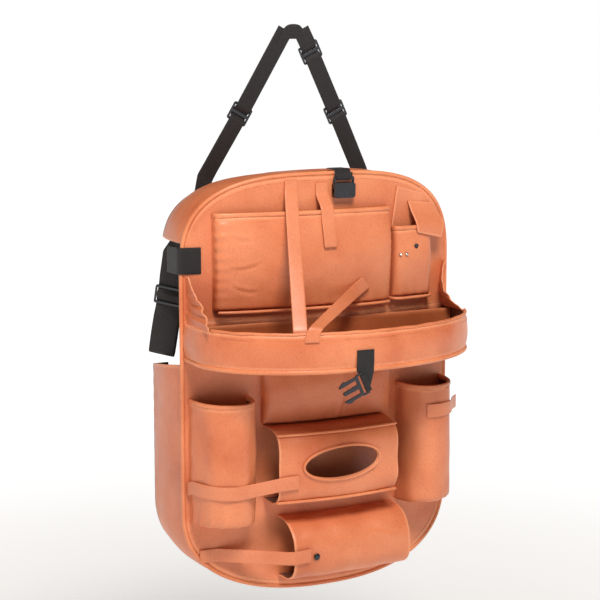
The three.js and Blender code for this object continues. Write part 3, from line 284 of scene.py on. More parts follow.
def woven_webbing():
    """Polypropylene belt webbing, woven in ribs: matt black with a soft shine on each rib. Ribs are 1.3 mm apart in
    the real belt and drawn 2.4 mm apart. The pattern follows the belt by its own map, in millimetres."""
    material, tree, shader = new_material("woven_webbing", {"IOR": 1.49, "Specular IOR Level": 0.3, "Roughness": 0.55,
                                                            "Sheen Weight": 0.12, "Sheen Roughness": 0.5})
    belt = add_node(tree, "ShaderNodeUVMap", uv_map="belt").outputs["UV"]
    ribs, cords = (add_node(tree, "ShaderNodeTexWave", {"Vector": belt, "Scale": 1 / pitch / 2, "Distortion": wander},
                            bands_direction=axis).outputs["Fac"]
                   for axis, pitch, wander in (("Y", 2.4, 0.3), ("X", 3.2, 0.2)))
    weave = add_node(tree, "ShaderNodeMath", {0: ribs, 1: cords}, operation="ADD").outputs[0]
    half = add_node(tree, "ShaderNodeMath", {0: weave, 1: 0.5}, operation="MULTIPLY").outputs[0]
    paint(shader, half, (0.1, "#0B0A0A"), (0.8, "#252223"))
    emboss(shader, half, 0.6, 0.0006)
    return material


def moulded_nylon():
    """Injection moulded black nylon, spark eroded finish: a fine even texture and a cool, rather glossy shine."""
    material, tree, shader = new_material("moulded_nylon", {"IOR": 1.53})
    flow = noise(tree, 45.0, 2.0)
    paint(shader, flow, (0.3, "#090A0F"), (0.75, "#161A26"))
    gloss(shader, flow, 0.20, 0.34)
    emboss(shader, noise(tree, 900.0, 2.0), 0.12, 0.0002)
    return material


def nonwoven_lining():
    """Needled polyester lining: matt charcoal felt with fibres about 1 mm long and a thin sheen."""
    material, tree, shader = new_material("nonwoven_lining", {"Roughness": 0.9, "Sheen Weight": 0.35,
                                                              "Sheen Roughness": 0.6, "IOR": 1.5})
    fibres = noise(tree, 700.0, 5.0, 0.7)
    paint(shader, fibres, (0.3, "#1B1918"), (0.7, "#383432"))
    emboss(shader, fibres, 0.5, 0.0005)
    return material


def pressed_board():
    """Grey pressed fibreboard: matt, flecked with 1.5 mm fibres."""
    material, tree, shader = new_material("pressed_board", {"Roughness": 0.85, "IOR": 1.5})
    paint(shader, noise(tree, 650.0, 3.0), (0.35, "#6F6C66"), (0.7, "#A39F97"))
    return material


def plated_steel():
    """Nickel plated steel rivets: a bright, slightly warm mirror with fine pits."""
    material, tree, shader = new_material("plated_steel", {"Metallic": 1.0, "Base Color": "#E6E2DA"})
    gloss(shader, noise(tree, 1200.0, 2.0), 0.16, 0.30)
    return material


def sewing_thread(name, light, dark):
    """Bonded polyester thread, 0.8 mm: satin, two plies that twist every 3 mm."""
    material, tree, shader = new_material(name, {"Roughness": 0.5, "IOR": 1.5, "Sheen Weight": 0.2})
    paint(shader, noise(tree, 330.0, 1.0), (0.35, dark), (0.65, light))
    return material


def painted_floor():
    """A matt white painted floor with a faint unevenness. It glows a little near the object and fully far from it,
    so that no horizon shows."""
    material, tree, shader = new_material("painted_floor", {"Roughness": 0.9, "Emission Color": "#FFFFFF"})
    paint(shader, noise(tree, 0.8, 1.0), (0.3, "#F7F6F4"), (0.7, "#FBFAF9"))
    far = add_node(tree, "ShaderNodeVectorMath", {0: object_spot(tree)}, operation="LENGTH").outputs["Value"]
    glow = add_node(tree, "ShaderNodeMapRange", {"Value": far, "From Min": 0.5, "From Max": 3.0,
                                                  "To Min": 0.28, "To Max": 1.0})
    tree.links.new(glow.outputs["Result"], shader.inputs["Emission Strength"])
    return material


LEATHER = coated_leather("coated_leather", "#DD895F", "#D27B52", "#C36840", "#E2946B")
# A lighter copy of the leather for cords and bindings: a painted highlight along them.
LIT_PIPING_LEATHER = coated_leather("piping_leather_painted_highlight", "#E29165", "#D88459", "#CA744A", "#E79B72")
BAND_LEATHER = coated_leather("band_leather", "#DA8861", "#D27E57", "#C7724B", "#DF906A")
# A darker copy of the leather for the tray's floor and back wall: painted shade for the tray's inside.
SHADED_TRAY_LEATHER = coated_leather("tray_leather_painted_shade", "#B0643E", "#A05632", "#8C4826", "#BC7048")
BACKING_WITH_PAINTED_SHADE = knit_backing_with_painted_shade()
WEBBING_CLOTH = woven_webbing()
NYLON = moulded_nylon()
LINING = nonwoven_lining()
BOARD = pressed_board()
STEEL = plated_steel()
THREAD = sewing_thread("leather_thread", "#D9845A", "#B5602F")


# Meshes from arrays of points


def place(points):
    """Part millimetres to frame metres: y counts from the rear plane, and z from half a hem up."""
    return (np.asarray(points, float) - [0, REAR_PLANE, HALF_HEM]) / 1000


def signed_volume(points, faces):
    """A sixth of the sum of a . (b x c) over the triangles; quads are split along a diagonal."""
    triangles = np.concatenate([faces[:, [0, 1, 2]], faces[:, [0, 2, 3]]])
    a, b, c = points[triangles[:, 0]], points[triangles[:, 1]], points[triangles[:, 2]]
    return float(np.einsum("ij,ij->i", a, np.cross(b, c)).sum() / 6)


def add_piece(name, points, faces, material, stands_for=(), rub_and_highlight=None, belt=None, lined_with_painted_shade=None):
    """Makes a closed mesh face outwards, gives it its finish, and lets it ride on the body.
    A quad whose last two corners are the same is a triangle at a pole. lined_with_painted_shade marks the faces
    that show the leather's dark backing, whose darkness is partly painted shade."""
    points = np.asarray(points, float)
    faces = np.asarray(faces, int)
    if signed_volume(points, faces) < 0:
        faces = faces[:, ::-1]
    corners = [list(dict.fromkeys(face)) for face in faces.tolist()]
    mesh = bpy.data.meshes.new(name)
    mesh.from_pydata(place(points).tolist(), [], corners)
    mesh.polygons.foreach_set("use_smooth", np.ones(len(mesh.polygons), bool))
    vertex_of_loop = np.zeros(len(mesh.loops), int)
    mesh.loops.foreach_get("vertex_index", vertex_of_loop)
    if belt is not None:
        layer = mesh.uv_layers.new(name="belt")
        layer.data.foreach_set("uv", np.asarray(belt, np.float32)[vertex_of_loop].ravel())
    worn_and_highlit = mesh.attributes.new("rub_and_highlight", "FLOAT", "POINT")
    worn_and_highlit.data.foreach_set("value", np.zeros(len(points)) if rub_and_highlight is None else np.asarray(rub_and_highlight, float))
    mesh.materials.append(material)
    if lined_with_painted_shade is not None:
        mesh.materials.append(BACKING_WITH_PAINTED_SHADE)
        mesh.polygons.foreach_set("material_index", np.asarray(lined_with_painted_shade, int))
    piece = add_object(name, mesh)
    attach(piece, "root")
    if stands_for:
        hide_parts(*([stands_for] if isinstance(stands_for, str) else stands_for))


def unit(vectors):
    """Vectors divided by their lengths."""
    return vectors / np.maximum(np.linalg.norm(vectors, axis=-1, keepdims=True), 1e-9)


def square_to(path):
    """In its first two coordinates, the unit directions on the right side of a path."""
    tangent = np.gradient(path, axis=0)
    return unit(np.stack([tangent[:, 1], -tangent[:, 0]], 1))


def square_in_plan(path):
    """The same with a third coordinate of zero."""
    return np.pad(square_to(path), ((0, 0), (0, 1)))


def grid(count_u, count_v):
    """Two arrays of parameters that run from 0 to 1 along the first and the second axis."""
    return np.meshgrid(np.linspace(0, 1, count_u), np.linspace(0, 1, count_v), indexing="ij")


def grid_normals(surface, facing, loops=False):
    """The cross product of a grid's two directions, turned to the side that facing points to."""
    if loops:
        along = np.roll(surface, -1, 0) - np.roll(surface, 1, 0)
    else:
        along = np.gradient(surface, axis=0)
    normals = unit(np.cross(along, np.gradient(surface, axis=1)))
    if np.sum(normals * facing) < 0:
        normals = -normals
    return normals


def shell(surface, wall, facing=(0, -1, 0), loops=False):
    """A sheet of leather with rolled edges. The outer face is the grid; the inner face is the grid moved back by the
    wall along its normals; between their borders runs a half circle as wide as the wall, in three steps.
    With loops the first axis closes on itself. Returns points, quads, and how near each point is to an edge."""
    rows, columns = surface.shape[:2]
    normals = grid_normals(surface, np.asarray(facing, float), loops)
    inner = surface - normals * wall
    index = np.arange(rows * columns).reshape(rows, columns)
    if loops:
        wrapped = np.vstack([index, index[:1]])
        borders = [(index[:, 0], index[:, 1]), (index[::-1, -1], index[::-1, -2])]
    else:
        wrapped = index
        inside = index[1:-1, 1:-1]
        ring = [index[:-1, 0], index[-1, :-1], index[:0:-1, -1], index[0, :0:-1]]
        inset = np.pad(inside, 1, mode="edge")
        near = [inset[:-1, 0], inset[-1, :-1], inset[:0:-1, -1], inset[0, :0:-1]]
        borders = [(np.concatenate(ring), np.concatenate(near))]
    quads = np.stack([wrapped[:-1, :-1], wrapped[1:, :-1], wrapped[1:, 1:], wrapped[:-1, 1:]], -1).reshape(-1, 4)
    count = rows * columns
    points = [surface.reshape(-1, 3), inner.reshape(-1, 3)]
    faces = [quads, quads[:, ::-1] + count]
    flat, flat_inner, flat_normals = points[0], points[1], normals.reshape(-1, 3)
    rim_u = np.minimum(np.arange(rows), np.arange(rows)[::-1])[:, None] if not loops else np.full((rows, 1), 99)
    rim_v = np.minimum(np.arange(columns), np.arange(columns)[::-1])[None, :]
    near_edge = np.clip(1 - np.minimum(rim_u, rim_v) / 2.0, 0, 1).ravel()
    rub_and_highlight = [near_edge, near_edge]
    total = 2 * count
    for edge, inward in borders:
        outward = flat[edge] - flat[inward]
        outward = unit(outward - np.sum(outward * flat_normals[edge], -1, keepdims=True) * flat_normals[edge])
        middle = (flat[edge] + flat_inner[edge]) / 2
        previous = edge
        for turn in (0.25, 0.5, 0.75):
            angle = turn * math.pi
            ring = middle + wall / 2 * (math.cos(angle) * flat_normals[edge] + math.sin(angle) * outward)
            here = total + np.arange(len(edge))
            faces.append(np.stack([previous, here, np.roll(here, -1), np.roll(previous, -1)], -1))
            points.append(ring)
            # The rolled edge is marked in full, to be painted lighter as wear and as a highlight.
            rub_and_highlight.append(np.ones(len(edge)))
            total += len(edge)
            previous = here
        last = edge + count
        faces.append(np.stack([previous, last, np.roll(last, -1), np.roll(previous, -1)], -1))
    return np.concatenate(points), np.concatenate(faces), np.concatenate(rub_and_highlight)


def add_shell(name, surface, wall, material=None, facing=(0, -1, 0), loops=False, lined_with_painted_shade=False):
    """A shell as a piece that stands for the node it is named for; with lined_with_painted_shade it shows its dark
    backing inside, whose darkness is partly painted shade.
    """
    points, faces, rub_and_highlight = shell(surface, wall, facing, loops)
    inside = None
    if lined_with_painted_shade:
        outer = (surface.shape[0] - (not loops)) * (surface.shape[1] - 1)
        inside = np.zeros(len(faces), int)
        inside[outer:2 * outer] = 1
    add_piece(name + "_hide", points, faces, material or LEATHER, name, rub_and_highlight, lined_with_painted_shade=inside)


def loft(rings, closed=False):
    """A skin through rings of points; the ends of an open one close on a pole in their middle."""
    count, sides = rings.shape[:2]
    index = np.arange(count * sides).reshape(count, sides)
    around = np.roll(index, -1, 1)
    following = np.roll(index, -1, 0) if closed else index[1:]
    following_around = np.roll(around, -1, 0) if closed else around[1:]
    first = index if closed else index[:-1]
    first_around = around if closed else around[:-1]
    faces = [np.stack([first, first_around, following_around, following], -1).reshape(-1, 4)]
    points = [rings.reshape(-1, 3)]
    if not closed:
        poles = np.array([rings[0].mean(0), rings[-1].mean(0)])
        start, end = count * sides, count * sides + 1
        faces.append(np.stack([np.roll(index[0], -1), index[0], np.full(sides, start), np.full(sides, start)], -1))
        faces.append(np.stack([index[-1], np.roll(index[-1], -1), np.full(sides, end), np.full(sides, end)], -1))
        points.append(poles)
    return np.concatenate(points), np.concatenate(faces)


def tube(path, radius, reference, sides=12, closed=False):
    """A round cord carried along a path. Across it, one direction is the reference without its part along the path,
    and the other is the cross product of both. The ends of an open one are rounded by shrinking circles."""
    path = np.asarray(path, float)
    along = np.roll(path, -1, 0) - np.roll(path, 1, 0) if closed else np.gradient(path, axis=0)
    along = unit(along)
    size = np.full(len(path), float(radius))
    if not closed:
        turn = np.radians([75, 50, 25])
        head = path[0] - along[0] * (radius * np.sin(turn))[:, None]
        tail = path[-1] + along[-1] * (radius * np.sin(turn[::-1]))[:, None]
        path = np.concatenate([head, path, tail])
        along = np.concatenate([np.repeat(along[:1], 3, 0), along, np.repeat(along[-1:], 3, 0)])
        size = np.concatenate([radius * np.cos(turn), size, radius * np.cos(turn[::-1])])
    side = unit(np.asarray(reference, float) - (along @ np.asarray(reference, float))[:, None] * along)
    up = np.cross(along, side)
    angle = np.arange(sides) / sides * 2 * math.pi
    rings = path[:, None] + size[:, None, None] * (
        np.cos(angle)[None, :, None] * side[:, None] + np.sin(angle)[None, :, None] * up[:, None])
    return loft(rings, closed)


def add_tube(name, path, radius, reference, closed=False, sides=12):
    """A leather covered piping cord, in a lighter copy of the leather that paints a highlight along it, that stands
    for the node it is named for.
    """
    points, faces = tube(path, radius, reference, sides, closed)
    add_piece(name + "_cord", points, faces, LIT_PIPING_LEATHER, name)


def running_length(line):
    """The distance along a polyline up to each of its points."""
    return np.concatenate([[0], np.cumsum(np.linalg.norm(np.diff(line, axis=0), axis=1))])


def resample(points, count, closed=False):
    """Evenly spaced points along a polyline, by straight interpolation over its running length."""
    points = np.asarray(points, float)
    line = np.vstack([points, points[:1]]) if closed else points
    length = running_length(line)
    wanted = np.linspace(0, length[-1], count, endpoint=not closed)
    return np.stack([np.interp(wanted, length, line[:, k]) for k in range(line.shape[1])], 1)


def eased(points, spacing=1.5, window=5, passes=2):
    """A polyline cut into short even steps whose corners are rounded by a running mean; its ends stay."""
    points = np.asarray(points, float)
    length = np.linalg.norm(np.diff(points[:, :3], axis=0), axis=1).sum()
    line = resample(points, max(12, int(length / spacing)))
    for _ in range(passes):
        pad = window // 2
        head = 2 * line[0] - line[pad:0:-1]
        tail = 2 * line[-1] - line[-2:-2 - pad:-1]
        padded = np.vstack([head, line, tail])
        line = np.stack([np.convolve(padded[:, k], np.ones(window) / window, "valid") for k in range(line.shape[1])], 1)
    return line


def ribbon(middle, half, wall, squareness, sides=20):
    """A flat belt along a path: its section is a superellipse, half the width along the half vector and half the wall
    along the cross product of the path and that vector. Returns points, faces and the belt map in millimetres."""
    along = unit(np.gradient(middle, axis=0))
    normal = unit(np.cross(along, half))
    angle = (np.arange(sides) + 0.5) / sides * 2 * math.pi
    across = np.sign(np.cos(angle)) * np.abs(np.cos(angle)) ** (2 / squareness)
    thick = np.sign(np.sin(angle)) * np.abs(np.sin(angle)) ** 0.8
    rings = middle[:, None] + half[:, None] * across[None, :, None]
    rings = rings + normal[:, None] * (thick * wall / 2)[None, :, None]
    points, faces = loft(rings)
    run = running_length(middle)
    width = np.linalg.norm(half, axis=1)
    belt = np.stack([across[None, :] * width[:, None], np.repeat(run[:, None], sides, 1)], -1).reshape(-1, 2)
    belt = np.vstack([belt, [0, run[0]], [0, run[-1]]])
    return points, faces, belt


def add_ribbon(name, steps, wall, material, suffix, squareness, window):
    """A belt or band from rows of (x, y, z, half x, half y, half z), with its corners eased."""
    line = eased(steps, window=window)
    points, faces, belt = ribbon(line[:, :3], line[:, 3:], wall, squareness)
    add_piece(name + suffix, points, faces, material, name, belt=belt)


def stitch_row(name, path, out, pitch=5.5, length=3.6, radius=0.45):
    """A row of stitches: along a path, every pitch, a spindle whose radius is the root of one minus the square of its
    place along itself, half sunk in the leather. out gives the leather's outward direction along the path."""
    path, out = np.asarray(path, float), np.asarray(out, float)
    if out.ndim == 1:
        out = np.repeat(out[None], len(path), 0)
    total = np.linalg.norm(np.diff(path, axis=0), axis=1).sum()
    both = resample(np.hstack([path, out]), max(3, int(total / pitch)))
    centre, outward = both[:, :3], unit(both[:, 3:])
    along = unit(np.gradient(centre, axis=0))
    side = unit(np.cross(along, outward))
    stations = np.array([-0.97, -0.6, 0.0, 0.6, 0.97])
    swell = np.sqrt(1 - stations ** 2)
    angle = np.arange(6) / 6 * 2 * math.pi
    size = (swell * radius)[:, None]
    local = np.stack(np.broadcast_arrays((stations * length / 2)[:, None], size * np.cos(angle),
                                         size * np.sin(angle)), -1)
    template_points, template_faces = loft(local)
    points = (centre[:, None] + template_points[None, :, 0:1] * along[:, None]
              + template_points[None, :, 1:2] * side[:, None] + template_points[None, :, 2:3] * outward[:, None])
    shift = np.arange(len(centre))[:, None, None] * len(template_points)
    faces = (template_faces[None] + shift).reshape(-1, 4)
    add_piece(name, points.reshape(-1, 3), faces, THREAD)


# Folds


def waves(a, b, size, seed, count=5):
    """Soft unevenness: the mean of sine waves in directions a golden angle apart, with sizes round the given one."""
    total = 0
    for k in range(count):
        angle = 2.39996 * (k + seed)
        reach = size * (0.7 + 0.25 * ((k * 7 + seed * 3) % 5) / 2)
        phase = 1.7 * (k + 1) * (seed + 1)
        total = total + np.sin((a * math.cos(angle) + b * math.sin(angle)) * 2 * math.pi / reach + phase)
    return total / count


def puckers(run, away, pitch, reach, seed):
    """Gathers at a seam: ridges across it, whose pitch drifts, dying away within the reach."""
    drift = 0.9 * np.sin(run / (pitch * 2.7) + seed) + 0.6 * np.sin(run / (pitch * 4.3) + 2.1 * seed)
    ridge = np.sin(run * 2 * math.pi / pitch + 2 * drift)
    strong = 0.55 + 0.45 * np.sin(run / (pitch * 3.1) + 1.3 * seed)
    return ridge * strong * np.exp(-np.maximum(away, 0) / reach)


def crease(a, b, at, direction, length, width):
    """One fold line: a narrow groove with a soft shoulder, round a point, along a direction in degrees."""
    angle = math.radians(direction)
    along = (a - at[0]) * math.cos(angle) + (b - at[1]) * math.sin(angle)
    across = -(a - at[0]) * math.sin(angle) + (b - at[1]) * math.cos(angle)
    across = across - along ** 2 / (6 * length)
    shape = -np.exp(-(across / width) ** 2) + 0.6 * np.exp(-((across - 2.1 * width) / (1.4 * width)) ** 2)
    return shape * np.exp(-(along / length) ** 4)


# Outlines and surfaces of the body


def signed_power(value, exponent):
    """A power that keeps the sign of its base."""
    return np.sign(value) * np.abs(value) ** exponent


def bow_y(x, proud=0.0):
    """Depth of the bowed front at x: a parabola, less what stands proud of it."""
    return STACK_FRONT + BOW * np.minimum(1, (x / HALF_WIDTH) ** 2) - proud


def piping_y(x):
    """Depth of the edge piping's middle, beside the edge of the layers."""
    return bow_y(x) - STACK_FRONT / 2 - 2


def outline_top(x, inset=0.0):
    """Height of the arch at x: a superellipse."""
    share = np.minimum(1, np.abs(x) / (HALF_WIDTH - inset))
    return ARCH_SPRING + (BODY_HEIGHT - inset - ARCH_SPRING) * (1 - share ** ARCH_POWER) ** (1 / ARCH_POWER)


def outline_bottom(x, inset=0.0):
    """Height of the foot at x: a superellipse that hangs from its springing."""
    share = np.minimum(1, np.abs(x) / (HALF_WIDTH - inset))
    return FOOT_SPRING - (FOOT_SPRING - inset) * (1 - share ** FOOT_POWER) ** (1 / FOOT_POWER)


def body_outline(count, inset=0.0):
    """The body's outline as evenly spaced (x, z), clockwise from the middle of the top."""
    t = np.linspace(0, math.pi / 2, 160)
    width = HALF_WIDTH - inset
    top = np.stack([width * np.sin(t) ** (2 / ARCH_POWER),
                    ARCH_SPRING + (BODY_HEIGHT - inset - ARCH_SPRING) * np.cos(t) ** (2 / ARCH_POWER)], 1)
    foot = np.stack([width * np.cos(t) ** (2 / FOOT_POWER),
                     FOOT_SPRING - (FOOT_SPRING - inset) * np.sin(t) ** (2 / FOOT_POWER)], 1)
    right = np.vstack([top, foot])
    left = right[1:-1][::-1] * [-1, 1]
    return resample(np.vstack([right, left]), count, closed=True)


def fold_leather(surface, folds, loops=False):
    """Moves a grid's points along its normals by the folds, and keeps them in front of the panel."""
    surface = surface + grid_normals(surface, np.array([0, -1.0, 0]), loops) * folds[..., None]
    surface[..., 1] = np.minimum(surface[..., 1], bow_y(surface[..., 0], CLEARANCE))
    return surface


def panel_surface(count_u, count_v, low_at, high_at):
    """Columns whose x is the sine of an even angle, each from the low to the high edge, on the bowed front."""
    u, v = grid(count_u, count_v)
    x = (HALF_WIDTH - EDGE_INSET) * np.sin((u - 0.5) * math.pi)
    low, high = low_at(x), high_at(x)
    z = low + (high - low) * v
    return np.stack([x, bow_y(x), z], -1)


def front_panels():
    """The upper and lower leather of the front, a seam between them behind the tray."""
    low = lambda x: outline_bottom(x, EDGE_INSET)
    high = lambda x: outline_top(x, EDGE_INSET)
    above = lambda x: np.maximum(low(x), SEAM_HEIGHT + CLEARANCE / 2)
    below = lambda x: np.full_like(x, SEAM_HEIGHT - CLEARANCE / 2)
    upper = panel_surface(121, 61, above, high)
    lower = panel_surface(121, 101, low, below)
    for surface, seed in ((upper, 1), (lower, 4)):
        x, z = surface[..., 0], surface[..., 2]
        edge = np.clip((HALF_WIDTH - np.abs(x)) / 30, 0, 1)
        surface[..., 1] -= 0.12 * waves(x, z, 70, seed) * edge
    add_shell("upper_front_panel", upper, 1.8)
    add_shell("lower_front_panel", lower, 1.8)
    lining = panel_surface(101, 101, low, high)
    lining[..., 1] -= STACK_FRONT
    add_shell("back_lining", lining, 1.4, LINING, facing=(0, 1, 0))


def edge_piping():
    """The cord round the front edge, and the row of stitches beside it where the leather is bare."""
    outline = body_outline(520)
    path = np.stack([outline[:, 0], piping_y(outline[:, 0]), outline[:, 1]], 1)
    add_tube("edge_piping", path, PIPING, (0, 1, 0), closed=True, sides=16)
    for name, inset, y_of in (("front_seam_fold", 3.7, lambda x: bow_y(x) + 1.0),
                              ("side_seam_fold", 1.0, lambda x: piping_y(x) + 3.5)):
        fold = body_outline(520, inset)
        welt = np.stack([fold[:, 0], y_of(fold[:, 0]), fold[:, 1]], 1)
        points, faces = tube(welt, 1.25, (0, 1, 0), 8, closed=True)
        add_piece(name + "_welt", points, faces, LEATHER)
    row = body_outline(900, EDGE_INSET + 5)
    clear = (row[:, 1] < 96) | (row[:, 1] > 536)
    for label, part in (("upper", clear & (row[:, 1] > 300)), ("lower", clear & (row[:, 1] < 300))):
        line = row[part]
        line = line[np.argsort(line[:, 0])]
        points = np.stack([line[:, 0], bow_y(line[:, 0], 0.1), line[:, 1]], 1)
        stitch_row(f"{label}_panel_stitches", points, (0, -1, 0))


def gusset_surface(ends, rear, taper, slope, count_u, count_v, seed):
    """A band behind the piping: from a stretch of the outline straight back, bellied by a sine of its depth, drawn in
    at the rear by a power of it, and gathered at both seams."""
    outline = body_outline(2400)
    upper = taper > 0
    part = outline[outline[:, 1] > ends] if upper else outline[outline[:, 1] < ends]
    turn = np.arctan2(part[:, 0], (1 if upper else -1) * (part[:, 1] - BODY_HEIGHT / 2))
    stretch = resample(part[np.argsort(turn)], count_u)
    outward = square_to(stretch)
    outward *= np.sign(np.sum(outward * (stretch - [0, BODY_HEIGHT / 2]), 1, keepdims=True))
    u, v = grid(count_u, count_v)
    front = (piping_y(stretch[:, 0]) + PIPING + CLEARANCE + 0.4)[:, None]
    run = running_length(stretch)[:, None] + 0 * v
    y = front + (rear - front) * v
    depth = (rear - front) * v
    offset = GUSSET_SWELL * np.sin(math.pi * v) - taper * v ** 1.5
    offset = offset + 0.35 * puckers(run, depth, 19, 10, seed) + 0.25 * puckers(run, rear - y, 29, 16, seed + 2)
    offset = offset + np.sin(math.pi * v) ** 0.6 * (2.6 * waves(run, depth * 0.5, 130, seed)
                                                   + 0.7 * waves(run, depth, 48, seed + 1))
    shift = slope * v * np.abs(2 * u - 1) ** 8
    x = stretch[:, 0][:, None] + outward[:, 0][:, None] * offset
    z = stretch[:, 1][:, None] + outward[:, 1][:, None] * offset - shift
    facing = np.stack([outward[:, 0][:, None] + 0 * v, 0 * v, outward[:, 1][:, None] + 0 * v], -1)
    return np.stack([x, y, z], -1), facing


def gussets():
    """The hood over the seat's top, the skirt round its lower half, and the webbing hem at the rear of each."""
    upper, upper_facing = gusset_surface(516, GUSSET_REAR - 1.8, 14, 0, 260, 37, 1)
    lower, lower_facing = gusset_surface(342, GUSSET_REAR, 0, 16, 360, 37, 4)
    for name, surface, facing, hem in (("upper_gusset", upper, upper_facing, "upper_back_hem"),
                                       ("lower_gusset", lower, lower_facing, "lower_back_hem")):
        add_shell(name, surface, GUSSET_WALL, facing=facing)
        rear = surface[:, -1]
        inward = unit(-facing[:, -1])
        middle = rear + inward * HEM / 2
        middle[:, 1] = rear[:, 1] + CLEARANCE + 1
        steps = np.hstack([middle, inward * HEM / 2])
        points, faces, belt = ribbon(steps[:, :3], steps[:, 3:], 1.9, squareness=8)
        add_piece(hem + "_tape", points, faces, WEBBING_CLOTH, hem, belt=belt)


# Pockets


def span(part):
    """The middle of a pocket or sleeve in x, and its half width."""
    return (part["left"] + part["right"]) / 2, (part["right"] - part["left"]) / 2


def even_turn(pocket, count):
    """Angles from left to right that cut a pocket's plan section into even lengths."""
    t = np.linspace(math.pi, 0, 1500)
    x = span(pocket)[1] * signed_power(np.cos(t), 2 / pocket["power"])
    y = -pocket["depth"] * np.sin(t) ** (2 / pocket["power"])
    run = np.concatenate([[0], np.cumsum(np.hypot(np.diff(x), np.diff(y)))])
    return np.interp(np.linspace(0, run[-1], count), run, t), run[-1]


def pocket_section(pocket, t, z, share=1.0, out=0.0):
    """A pocket's outer face: a superellipse in plan whose depth bellies by a sine of the height.
    share shrinks the depth, and out moves the face forwards and sideways."""
    height = np.clip((z - pocket["bottom"]) / (pocket["top"] - pocket["bottom"]), 0, 1)
    depth = pocket["depth"] + pocket["belly"] * np.sin(math.pi * height) + out
    middle, reach = span(pocket)
    x = middle + (reach + out) * signed_power(np.cos(t), 2 / pocket["power"])
    y = bow_y(x, CLEARANCE + depth * share * np.abs(np.sin(t)) ** (2 / pocket["power"]))
    return x, y


def pocket_surface(pocket, count_u, count_v, folds):
    """From the back of its foot forwards under the pocket, round a curved corner, and up to the mouth.
    folds(run, height) moves the leather outwards."""
    t, length = even_turn(pocket, count_u)
    foot_steps = 9
    corner = np.linspace(0, math.pi / 2, foot_steps)
    share = np.concatenate([np.sin(corner) ** 0.5, np.ones(count_v - foot_steps)])
    z_foot = pocket["bottom"] + pocket["foot"] * (1 - np.cos(corner) ** 0.5)
    z_wall = np.linspace(z_foot[-1], pocket["top"], count_v - foot_steps + 1)[1:]
    z = np.concatenate([z_foot, z_wall])
    t, z = np.meshgrid(t, z, indexing="ij")
    share = np.broadcast_to(share, t.shape)
    run = np.linspace(0, length, count_u)[:, None] + 0 * z
    x, y = pocket_section(pocket, t, z, share)
    held = np.clip(np.minimum(run, length - run) / 5, 0, 1) * np.clip((share - 0.3) / 0.7, 0, 1)
    return fold_leather(np.stack([x, y, z], -1), folds(run, z) * held)


def pocket_line(pocket, count, z_section, z, out):
    """Evenly spaced points round a pocket at a height z, off its face at the height z_section."""
    x, y = pocket_section(pocket, even_turn(pocket, count)[0], z_section, out=out)
    return np.stack([x, y, np.full_like(x, z)], 1)


def add_binding(name, pocket):
    """A folded strip over the mouth of a pocket, and its row of stitches."""
    mouth = pocket["top"]
    path = pocket_line(pocket, 140, mouth, mouth + CLEARANCE + BINDING_HEIGHT / 2, -pocket["wall"] / 2)
    half = np.repeat([[0, 0, BINDING_HEIGHT / 2]], len(path), 0)
    points, faces, _ = ribbon(path, half, pocket["wall"] + 2 * BINDING_EXTRA, 3.2, sides=24)
    add_piece(name + "_fold", points, faces, LIT_PIPING_LEATHER, name)
    line = pocket_line(pocket, 160, mouth, mouth + CLEARANCE + 2.2, BINDING_EXTRA + 0.1)[12:-12]
    stitch_row(name + "_stitches", line, square_in_plan(line), pitch=5, length=3.2, radius=0.4)


def tablet_folds(run, z):
    """Gathers down both sides, long soft dents across the front, and the fold beside the middle."""
    left = 0.9 * puckers(z, run - 17, 15, 13, 2)
    right = 0.7 * puckers(z, 308 - 17 - run, 13, 12, 5)
    base = 0.5 * puckers(run, z - 428, 21, 8, 3)
    soft = 1.2 * waves(run, z, 120, 3) + 0.5 * waves(run, z, 47, 6)
    lines = 1.1 * crease(run, z, (46, 520), -12, 16, 2.4) + 1.2 * crease(run, z, (50, 480), 8, 20, 2.6)
    lines = lines + 1.1 * crease(run, z, (48, 448), -16, 18, 2.3) + 0.9 * crease(run, z, (133, 487), 86, 46, 2.2)
    return left + right + base + soft + lines


def phone_folds(run, z):
    """Small gathers at the foot and a soft front."""
    return 0.5 * puckers(run, z - 430, 15, 9, 1) + 0.8 * waves(run, z, 60, 2)


def flat_folds(run, z):
    """A pleat down the middle, dents where the hand goes in, gathers at the foot."""
    pleat = 1.8 * crease(run, z, (132, 292), 84, 60, 2.6)
    return pleat + 0.7 * puckers(run, z - 256, 19, 9, 2) + 1.3 * waves(run, z, 85, 5) + 0.6 * waves(run, z, 36, 1)


def bottle_folds(seed):
    """Upright flutes that lean a little, strongest in the lower half, and gathers at the foot."""
    def folds(run, z):
        lean = run + 9 * np.sin(z / 58 + seed)
        flutes = np.sin(lean * 2 * math.pi / 41 + seed) * (0.6 + 0.5 * np.sin(z / 37 + 2 * seed))
        return 1.1 * flutes + 0.9 * puckers(run, z - 122, 17, 12, seed) + 0.8 * waves(run, z, 52, seed + 2)
    return folds


